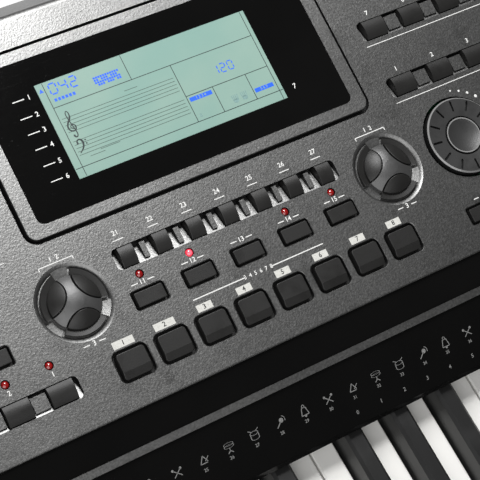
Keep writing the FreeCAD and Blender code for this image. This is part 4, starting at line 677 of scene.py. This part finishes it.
for i in range(TRACK_N):
    u = TRACK_U + i * TRACK_PITCH + TRACK_PRINT_SHIFT
    number(print_white, str(TRACK_FIRST + i), u, TRACK_PRINT_V, DIGIT_H)
    plate(print_white, u, TRACK_RULE_V, TRACK_RULE)
for start, end in GROUP_RULES:
    path(print_white, [(start, GROUP_V), (end, GROUP_V)], GROUP_RULE_T)
number(print_white, "3  4  5  6  7  8", 0, GROUP_V, GROUP_DIGIT_H)
for side in (-1, 1):
    u = side * CLUSTER_U
    left, right = u - BRACKET_HALF_U, u + BRACKET_HALF_U
    foot, top = BRACKET_V
    path(print_white, [(left, foot), (left, top), (right, top), (right, foot)], BRACKET_T)
    number(print_white, "1  2", u, BRACKET_PRINT_V, BRACKET_DIGIT_H)
    number(print_white, "3", u, CLUSTER_PRINT_V, LARGE_DIGIT_H)
    for shift in CLUSTER_DASH_SHIFTS:
        plate(print_white, u + shift, CLUSTER_PRINT_V, (CLUSTER_DASH, DASH_T))
    for row, v in enumerate(TRAY_ROWS):
        for i in range(TRAY_N):
            number(print_white, str(TRAY_N * row + i + 1), side * (TRAY_U + i * TRAY_PITCH),
                   v + TRAY_PRINT_UP, DIGIT_H)
        start = side * (TRAY_U - TRAY_RULE_PAST)
        end = side * (TRAY_U + TRAY_RULE_PAST + (TRAY_N - 1) * TRAY_PITCH)
        path(print_white, [(start, v + TRAY_RULE_UP), (end, v + TRAY_RULE_UP)], TRAY_RULE_T)
for i in range(FILL_N):
    number(print_white, str(i + 1), FILL_U + i * FILL_PITCH, FILL_PRINT_V, DIGIT_H)
for i in range(LEFT_FUNCTION_N):
    number(print_white, str(LEFT_FUNCTION_FIRST + i), LEFT_FUNCTION_U - i * FUNCTION_PITCH,
           LEFT_FUNCTION_PRINT_V, DIGIT_H)
for column in range(PAD_COLUMNS):
    for row in range(PAD_ROWS):
        number(print_white, str(1 + column + PAD_COLUMNS * row), PAD_U + column * FUNCTION_PITCH,
               PAD_V + (row + 1) * PAD_PITCH_V + PAD_PRINT_UP, LARGE_DIGIT_H)
number(print_white, "0", PAD_U + FUNCTION_PITCH, PAD_V + PAD_PRINT_UP, LARGE_DIGIT_H)
for u in (MINUS_U, PLUS_U):
    plate(print_white, u, STEP_SIGN_V, (STEP_SIGN, STEP_SIGN_T))
plate(print_white, PLUS_U, STEP_SIGN_V, (STEP_SIGN_T, STEP_SIGN))

# Scale round the volume knob, in degrees from the right, the power sign, and dots beside the dial
SCALE_N, SCALE_START, SCALE_STEP = 11, 230, 28
SCALE_MARK_R, SCALE_MARK_T, SCALE_PRINT_R, SCALE_DIGIT_H = (12.0, 13.6), 0.45, 16.2, 1.8
POWER_SIGN_V, POWER_SIGN_TOP_V, POWER_SIGN_R, POWER_SIGN_T = 96.0, 98.6, 1.7, 0.4
POWER_SIGN_SPAN, POWER_SIGN_TURN = math.radians(290), math.radians(125)
DOT_N, DOT_START, DOT_STEP, DOT_CIRCLE_R, DOT_R, DOT_GROWTH = 5, 75, 11, 24.6, 0.45, 0.12
knob = Vector((VOLUME_U, VOLUME_V))
for i in range(SCALE_N):
    turn = math.radians(SCALE_START - SCALE_STEP * i)
    way = Vector((math.cos(turn), math.sin(turn)))
    path(print_white, [knob + way * r for r in SCALE_MARK_R], SCALE_MARK_T)
    number(print_white, str(i), *(knob + way * SCALE_PRINT_R), SCALE_DIGIT_H)
ring(print_white, VOLUME_U, POWER_SIGN_V, POWER_SIGN_R, POWER_SIGN_T,
     span=POWER_SIGN_SPAN, turn=POWER_SIGN_TURN)
path(print_white, [(VOLUME_U, POWER_SIGN_V), (VOLUME_U, POWER_SIGN_TOP_V)], POWER_SIGN_T)
for i in range(DOT_N):
    turn = math.radians(DOT_START - DOT_STEP * i)
    disc(print_white, DIAL_U + DOT_CIRCLE_R * math.cos(turn), DIAL_V + DOT_CIRCLE_R * math.sin(turn),
         DOT_R + DOT_GROWTH * i)
fitted("panel_numbers", print_white, white_ink)
fitted("number_plates", print_plates, plate_ink)
fitted("plate_numbers", print_dark, dark_ink)

# Print on the display window
WINDOW_ROWS = (131.1, 122.3, 114.4, 106.6, 98.2, 90.2)
WINDOW_DIGIT_U, WINDOW_DASH_U, WINDOW_DASH = -64.0, -69.5, 6.0
WINDOW_RIGHT = (61.5, 90.8)
print_window = bmesh.new()
for i, v in enumerate(WINDOW_ROWS):
    number(print_window, str(i + 1), WINDOW_DIGIT_U, v, LARGE_DIGIT_H, WINDOW_W)
    plate(print_window, WINDOW_DASH_U, v, (WINDOW_DASH, DASH_T), WINDOW_W)
number(print_window, str(len(WINDOW_ROWS) + 1), *WINDOW_RIGHT, LARGE_DIGIT_H, WINDOW_W)
fitted("window_numbers", print_window, white_ink)

# Picture on the display: frame lines, two staves and their clefs
LCD_LEFT, LCD_SPLIT, LCD_RIGHT = -55.5, 7.1, 53.2
LCD_LOW, LCD_FOOT, LCD_SHELF, LCD_HEAD, LCD_TOP = 87.0, 91.5, 105.1, 122.2, 135.2
FRAME_LINES = (
    [(LCD_LEFT, LCD_LOW), (LCD_LEFT, LCD_TOP)],
    [(LCD_RIGHT, LCD_LOW), (LCD_RIGHT, LCD_TOP)],
    [(-58.9, LCD_FOOT), (55.0, LCD_FOOT)],
    [(LCD_LEFT, LCD_HEAD), (LCD_RIGHT, LCD_HEAD)],
    [(LCD_SPLIT, LCD_FOOT), (LCD_SPLIT, LCD_HEAD)],
    [(LCD_SPLIT, LCD_SHELF), (LCD_RIGHT, LCD_SHELF)],
    [(21.8, LCD_FOOT), (21.8, LCD_SHELF)],
    [(40.4, LCD_FOOT), (40.4, LCD_SHELF)],
    [(-14.0, LCD_HEAD), (-14.0, LCD_TOP)],
)
FRAME_LINE_T, STAFF_LINE_T = 0.34, 0.2
STAFF_GAP, STAFF_N, STAFF_LEFT, STAFF_RIGHT = 1.75, 5, -54.2, 5.6
TREBLE_TOP, BASS_TOP = 115.9, 104.0
EXTRA_LINES = ((-49.7, -41.7, 95.0), (-43.5, -33.2, 96.4), (-20.0, -13.0, 118.2))
TREBLE_U, BASS_U, CLEF_W = -51.2, -51.4, LCD_W + 0.02
BASS_DOT_SHIFT, BASS_DOT_R = 1.7, 0.4
TREBLE = ((0.2, -0.45, 0.1), (-0.45, -0.3, 0.1), (-0.45, 0.6, 0.12), (0.5, 0.85, 0.16), (1.05, 0.05, 0.18),
          (0.55, -1.05, 0.18), (-0.75, -0.95, 0.2), (-1.35, 0.2, 0.22), (-0.7, 1.6, 0.24), (0.45, 2.6, 0.24),
          (0.7, 4.0, 0.16), (0.3, 4.9, 0.1), (-0.3, 4.3, 0.14), (-0.2, 2.7, 0.16), (0.3, -0.4, 0.15),
          (0.6, -2.0, 0.15), (0.15, -2.9, 0.16), (-0.6, -2.6, 0.25), (-0.5, -2.0, 0.25))
BASS = ((-0.55, 0.05, 0.38), (-0.75, 0.35, 0.2), (-0.5, 1.1, 0.18), (0.4, 1.2, 0.22), (0.95, 0.3, 0.3),
        (0.6, -1.0, 0.24), (-0.2, -1.9, 0.16), (-1.1, -2.5, 0.1))
grid_lines = bmesh.new()
staff_lines = bmesh.new()
clefs = bmesh.new()
for line in FRAME_LINES:
    path(grid_lines, line, FRAME_LINE_T, LCD_W)
for top in (TREBLE_TOP, BASS_TOP):
    for i in range(STAFF_N):
        v = top - i * STAFF_GAP
        path(staff_lines, [(STAFF_LEFT, v), (STAFF_RIGHT, v)], STAFF_LINE_T, LCD_W)
for start, end, v in EXTRA_LINES:
    path(staff_lines, [(start, v), (end, v)], STAFF_LINE_T, LCD_W)
stroke(clefs, TREBLE, TREBLE_U, TREBLE_TOP - 3 * STAFF_GAP, STAFF_GAP, CLEF_W)
stroke(clefs, BASS, BASS_U, BASS_TOP - STAFF_GAP, STAFF_GAP, CLEF_W)
for step in (0.5, -0.5):
    disc(clefs, BASS_U + BASS_DOT_SHIFT * STAFF_GAP, BASS_TOP - (1 - step) * STAFF_GAP, BASS_DOT_R, LCD_W)

# Lit and faint segments of the display
SEGMENTS = {"0": "abcdef", "1": "bc", "2": "abged", "4": "fgbc"}
SEGMENT_GAP, SEGMENT_T = 0.12, 0.19
LEVEL_N, LEVEL_U, LEVEL_PITCH, LEVEL_V, LEVEL_MARK = 6, -52.6, 1.9, 125.6, (1.3, 1.5)
MATRIX_COLUMNS, MATRIX_ROWS, MATRIX_PITCH, MATRIX_DOT = 11, 4, 1.25, (1.0, 1.0)
MATRIX_U, MATRIX_V = -31.0, 125.3
LABELS = ((14.3, 102.9, (12.2, 2.1), "1 2 3 4"), (46.5, 95.7, (10.4, 2.1), "5 6 7"))
LABEL_DIGIT_H = 1.4
ARROW_U, ARROW_V, ARROW_R = -57.3, 131.6, 1.3
FAINT_U, FAINT_V, FAINT_DIGIT_H = 9.8, 94.0, 1.8
HANDS_U, PALM_V, PALM_R, PALM_SQUASH = (30.0, 35.0), 94.5, 1.5, 0.7
FINGER_N, FINGER_T, FINGER_FOOT_V, FINGER_TIP_V = 4, 0.5, 95.0, 97.6
FINGER_FOOT_SHIFT, FINGER_FOOT_PITCH = -1.2, 0.8
FINGER_TIP_SHIFT, FINGER_TIP_PITCH = -1.5, 1.0


def segment_number(shape, digits, u, v, step, width, height):
    """A row of seven-segment digits: the first one's lower left corner at (u, v)."""
    half = height / 2
    gap = SEGMENT_GAP * width
    bars = {"a": ((gap, height), (width - gap, height)), "b": ((width, half + gap), (width, height - gap)),
            "c": ((width, gap), (width, half - gap)), "d": ((gap, 0), (width - gap, 0)),
            "e": ((0, gap), (0, half - gap)), "f": ((0, half + gap), (0, height - gap)),
            "g": ((gap, half), (width - gap, half))}
    for i, digit in enumerate(digits):
        left = u + step * i
        for name in SEGMENTS[digit]:
            start, end = bars[name]
            bar(shape, (left + start[0], v + start[1]), (left + end[0], v + end[1]), SEGMENT_T * width, LCD_W)


lit = bmesh.new()
knocked_out = bmesh.new()
faint = bmesh.new()
segment_number(lit, "042", -53.2, 128.6, step=5.3, width=3.5, height=5.2)
segment_number(lit, "120", 26.0, 110.0, step=4.2, width=2.7, height=4.4)
for i in range(LEVEL_N):
    plate(lit, LEVEL_U + LEVEL_PITCH * i, LEVEL_V, LEVEL_MARK, LCD_W)
for column in range(MATRIX_COLUMNS):
    for row in range(MATRIX_ROWS):
        if (3 * column + 5 * row + column * row) % 4:
            plate(lit, MATRIX_U + MATRIX_PITCH * column, MATRIX_V + MATRIX_PITCH * row, MATRIX_DOT, LCD_W)
for u, v, size, digits in LABELS:
    plate(lit, u, v, size, LCD_W)
    number(knocked_out, digits, u, v, LABEL_DIGIT_H, LCD_W + INK_T)
disc(lit, ARROW_U, ARROW_V, ARROW_R, LCD_W, sides=3)
number(faint, "8", FAINT_U, FAINT_V, FAINT_DIGIT_H, LCD_W)
for u in HANDS_U:
    for finger in range(FINGER_N):
        foot = (u + FINGER_FOOT_SHIFT + FINGER_FOOT_PITCH * finger, FINGER_FOOT_V)
        tip = (u + FINGER_TIP_SHIFT + FINGER_TIP_PITCH * finger, FINGER_TIP_V)
        path(faint, [foot, tip], FINGER_T, LCD_W)
    disc(faint, u, PALM_V, PALM_R, LCD_W, sides=12, squash=PALM_SQUASH)
fitted("display_grid", grid_lines, staff_ink)
fitted("display_staves", staff_lines, staff_ink)
fitted("display_clefs", clefs, staff_ink)
fitted("display_segments", lit, segment_ink)
fitted("display_knocked_out", knocked_out, finishes["display_glass"])
fitted("display_faint", faint, faint_ink)

# Sloped floors of the round dishes, seen between the leaf buttons' rings
FLOOR_R, FLOOR_W, DISH_W = (12.95, 17.0), (-1.9, -1.05), -2.0
FLOOR_PROFILE = ((FLOOR_R[0], DISH_W), (FLOOR_R[1], DISH_W),
                 (FLOOR_R[1], FLOOR_W[1]), (FLOOR_R[0], FLOOR_W[0]))
FLOOR_HALF_TURN, FLOOR_STEPS = math.radians(14), 8
ARMS = (math.radians(90), math.radians(-30), math.radians(-150))
dish_floors = bmesh.new()
for side in (-1, 1):
    for arm in ARMS:
        sector = bmesh.new()
        corners = [sector.verts.new((r, 0, w)) for r, w in FLOOR_PROFILE]
        first = sector.faces.new(corners)
        bmesh.ops.spin(sector, geom=[first, *first.edges, *corners], cent=(0, 0, 0), axis=(0, 0, 1),
                       angle=2 * FLOOR_HALF_TURN, steps=FLOOR_STEPS)
        bmesh.ops.recalc_face_normals(sector, faces=sector.faces)
        sector.transform(Matrix.Translation((side * CLUSTER_U, CLUSTER_V, 0))
                         @ Matrix.Rotation(arm - FLOOR_HALF_TURN, 4, "Z"))
        join(dish_floors, sector)
fitted("dish_floors", dish_floors, dish_paint)

# Metal bushings in the round holes of the back wall: their outline as (radius, depth)
BACK_Y, BACK_WALL_T, SOCKET_Z = 205.0, 3.0, 25.5
SOCKETS_X = (-250.0, -215.0, -180.0, -145.0, -110.0)
BUSHING = ((3.5, 0.1), (5.2, 0.1), (5.2, 2.3), (4.9, 2.6), (4.0, 2.6), (3.5, 2.1))
BUSHING_SIDES = 32
bushings = bmesh.new()
for x in SOCKETS_X:
    collar = bmesh.new()
    rim = [collar.verts.new((r, 0, depth)) for r, depth in BUSHING]
    edges = [collar.edges.new(pair) for pair in zip(rim, rim[1:] + rim[:1])]
    bmesh.ops.spin(collar, geom=rim + edges, cent=(0, 0, 0), axis=(0, 0, 1), angle=FULL_TURN,
                   steps=BUSHING_SIDES, use_merge=True)
    bmesh.ops.recalc_face_normals(collar, faces=collar.faces)
    collar.transform(Matrix.Translation((x, BACK_Y - BACK_WALL_T, SOCKET_Z))
                     @ Matrix.Rotation(-math.pi / 2, 4, "X"))
    join(bushings, collar)
fitted("socket_bushings", bushings, nut_metal, place=Matrix.Scale(MM, 4))

# Print on the fascia: a small percussion sign and a number for each key, and a count below them
FALL = math.atan2(FASCIA_TOP[1] - FASCIA_LOW[1], FASCIA_TOP[0] - FASCIA_LOW[0])
FASCIA = PANEL @ Matrix.Translation((0, *FASCIA_TOP)) @ Matrix.Rotation(FALL, 4, "X")
KEY_N, MIDDLE_KEY = 61, 30
SIGN_U, SIGN_V, SIGN_SIZE, SIGN_KINDS = 19.4, -13.7, 1.25, 6
KEY_NUMBER_V, KEY_NUMBER_SHIFT, KEY_DIGIT_H = -18.3, -0.4, 1.5
COUNT_N, COUNT_V, COUNT_SHIFT, COUNT_DIGIT_H = 10, -25.3, -2.0, 1.9


def percussion_sign(shape, kind, u, v):
    """A small outline of a drum, cymbal, triangle, pair of sticks, bell or shaker."""
    sign = bmesh.new()
    if kind == 0:
        ring(sign, 0, 0.9, 1.5, 0.3, squash=0.45, sides=14)
        ring(sign, 0, -0.9, 1.5, 0.3, squash=0.45, sides=10, span=math.pi, turn=math.pi)
        for side in (-1, 1):
            path(sign, [(side * 1.65, -0.9), (side * 1.65, 0.9)], 0.28)
            path(sign, [(side * 0.6, 1.4), (side * 2.2, 2.3)], 0.24)
    elif kind == 1:
        for height in (0.5, 1.3):
            ring(sign, 0, height, 1.9, 0.26, squash=0.3, sides=14)
        path(sign, [(0, 0), (0, -1.2)], 0.3)
        path(sign, [(-1.1, -2.0), (0, -1.1), (1.1, -2.0)], 0.3)
    elif kind == 2:
        path(sign, [(1.3, -1.2), (-1.6, -1.2), (0, 1.6), (1.5, -0.9)], 0.3)
        path(sign, [(0.5, -0.6), (2.2, 0.9)], 0.26)
    elif kind == 3:
        for side in (-1, 1):
            path(sign, [(-side * 1.6, -1.4), (side * 1.5, 1.2)], 0.3)
            disc(sign, side * 1.6, 1.3, 0.5, sides=8)
    elif kind == 4:
        path(sign, [(-0.8, 1.4), (0.8, 1.4), (1.6, -1.4), (-1.6, -1.4), (-0.8, 1.4)], 0.3)
        disc(sign, 0, -1.8, 0.45, sides=8)
        ring(sign, 0, 1.9, 0.4, 0.25, sides=10)
    else:
        disc(sign, 0.9, 0.8, 0.9, sides=12)
        path(sign, [(0.6, 0.4), (-1.5, -1.5)], 0.35)
        ring(sign, 0.9, 0.8, 1.5, 0.24, sides=8, span=math.pi / 2, turn=-math.pi / 8)
    sign.transform(Matrix.Translation((u, v, 0)) @ Matrix.Diagonal((SIGN_SIZE, SIGN_SIZE, 1, 1)))
    join(shape, sign)


signs = bmesh.new()
for i in range(KEY_N):
    away = i - MIDDLE_KEY
    u = SIGN_U + away * SEMITONE
    percussion_sign(signs, (away * 5 + 2) % SIGN_KINDS, u, SIGN_V)
    number(signs, str(i + 1), u + KEY_NUMBER_SHIFT, KEY_NUMBER_V, KEY_DIGIT_H)
for i in range(COUNT_N):
    number(signs, str(i), SIGN_U + COUNT_SHIFT + i * SEMITONE, COUNT_V, COUNT_DIGIT_H)
fitted("fascia_signs", signs, grey_ink, place=FASCIA)

# Floor and light
FLOOR_HALF_SIZE = 8
SKY_STRENGTH = 0.06
floor_shape = bmesh.new()
bmesh.ops.create_grid(floor_shape, x_segments=2, y_segments=2, size=FLOOR_HALF_SIZE)
floor_finish = Finish("pale_floor", Roughness=0.8)
floor_finish.feed(Base_Color=floor_finish.mix(floor_finish.noise(3.0), grey(0.78), grey(0.82)))
floor = place_mesh("floor", floor_shape, floor_finish.material)

world = bpy.data.worlds.new("studio")
bpy.context.scene.world = world
world.use_nodes = True
sky = world.node_tree.nodes["Background"].inputs
sky["Color"].default_value = (1, 1, 1, 1)
sky["Strength"].default_value = SKY_STRENGTH


def soft_box(name, place, aim, size, power):
    """A lamp with a soft edge, unseen by the camera, that points from its place to its aim."""
    lamp = bpy.data.lights.new(name, "AREA")
    lamp.shape = "RECTANGLE"
    lamp.size, lamp.size_y = size
    lamp.energy = power
    holder = bpy.data.objects.new(name, lamp)
    holder.visible_camera = False
    bpy.context.collection.objects.link(holder)
    way = Vector(aim) - Vector(place)
    holder.matrix_world = Matrix.Translation(place) @ way.to_track_quat("-Z", "Y").to_matrix().to_4x4()


soft_box("top_box", place=(0.06, 0.38, 0.78), aim=(-0.05, 0.05, 0.12), size=(0.18, 0.18), power=4.0)
soft_box("back_box", place=(0.20, 0.60, 0.74), aim=(0.0, 0.05, 0.12), size=(0.5, 0.3), power=4.5)
soft_box("side_fill", place=(-0.9, -1.1, 1.3), aim=(0, -0.1, 0.1), size=(2.2, 2.2), power=35)

# Camera: its axes and eye in the panel's frame, and its focal length in pixels of the photograph
RIGHT = Vector((0.8373, -0.4479, 0.3136))
DOWN = Vector((-0.3583, -0.8826, -0.3043))
FORWARD = Vector((0.4131, 0.1424, -0.8995))
EYE = Vector((-329.8, -81.3, 715.9))
FOCAL_PX, PHOTO_PX, SENSOR_MM = 1709.28, 480, 36.0
NEAR_CLIP = 0.01
lens = bpy.data.cameras.new("camera")
lens.sensor_width = SENSOR_MM
lens.lens = FOCAL_PX / PHOTO_PX * SENSOR_MM
lens.clip_start = NEAR_CLIP
camera = bpy.data.objects.new("camera", lens)
bpy.context.collection.objects.link(camera)
turn = PANEL.to_3x3().normalized()
camera.matrix_world = Matrix.Translation(PANEL @ EYE) @ Matrix(
    (turn @ RIGHT, turn @ -DOWN, turn @ -FORWARD)).transposed().to_4x4()
bpy.context.scene.camera = camera
bpy.context.scene.view_settings.view_transform = "Standard"
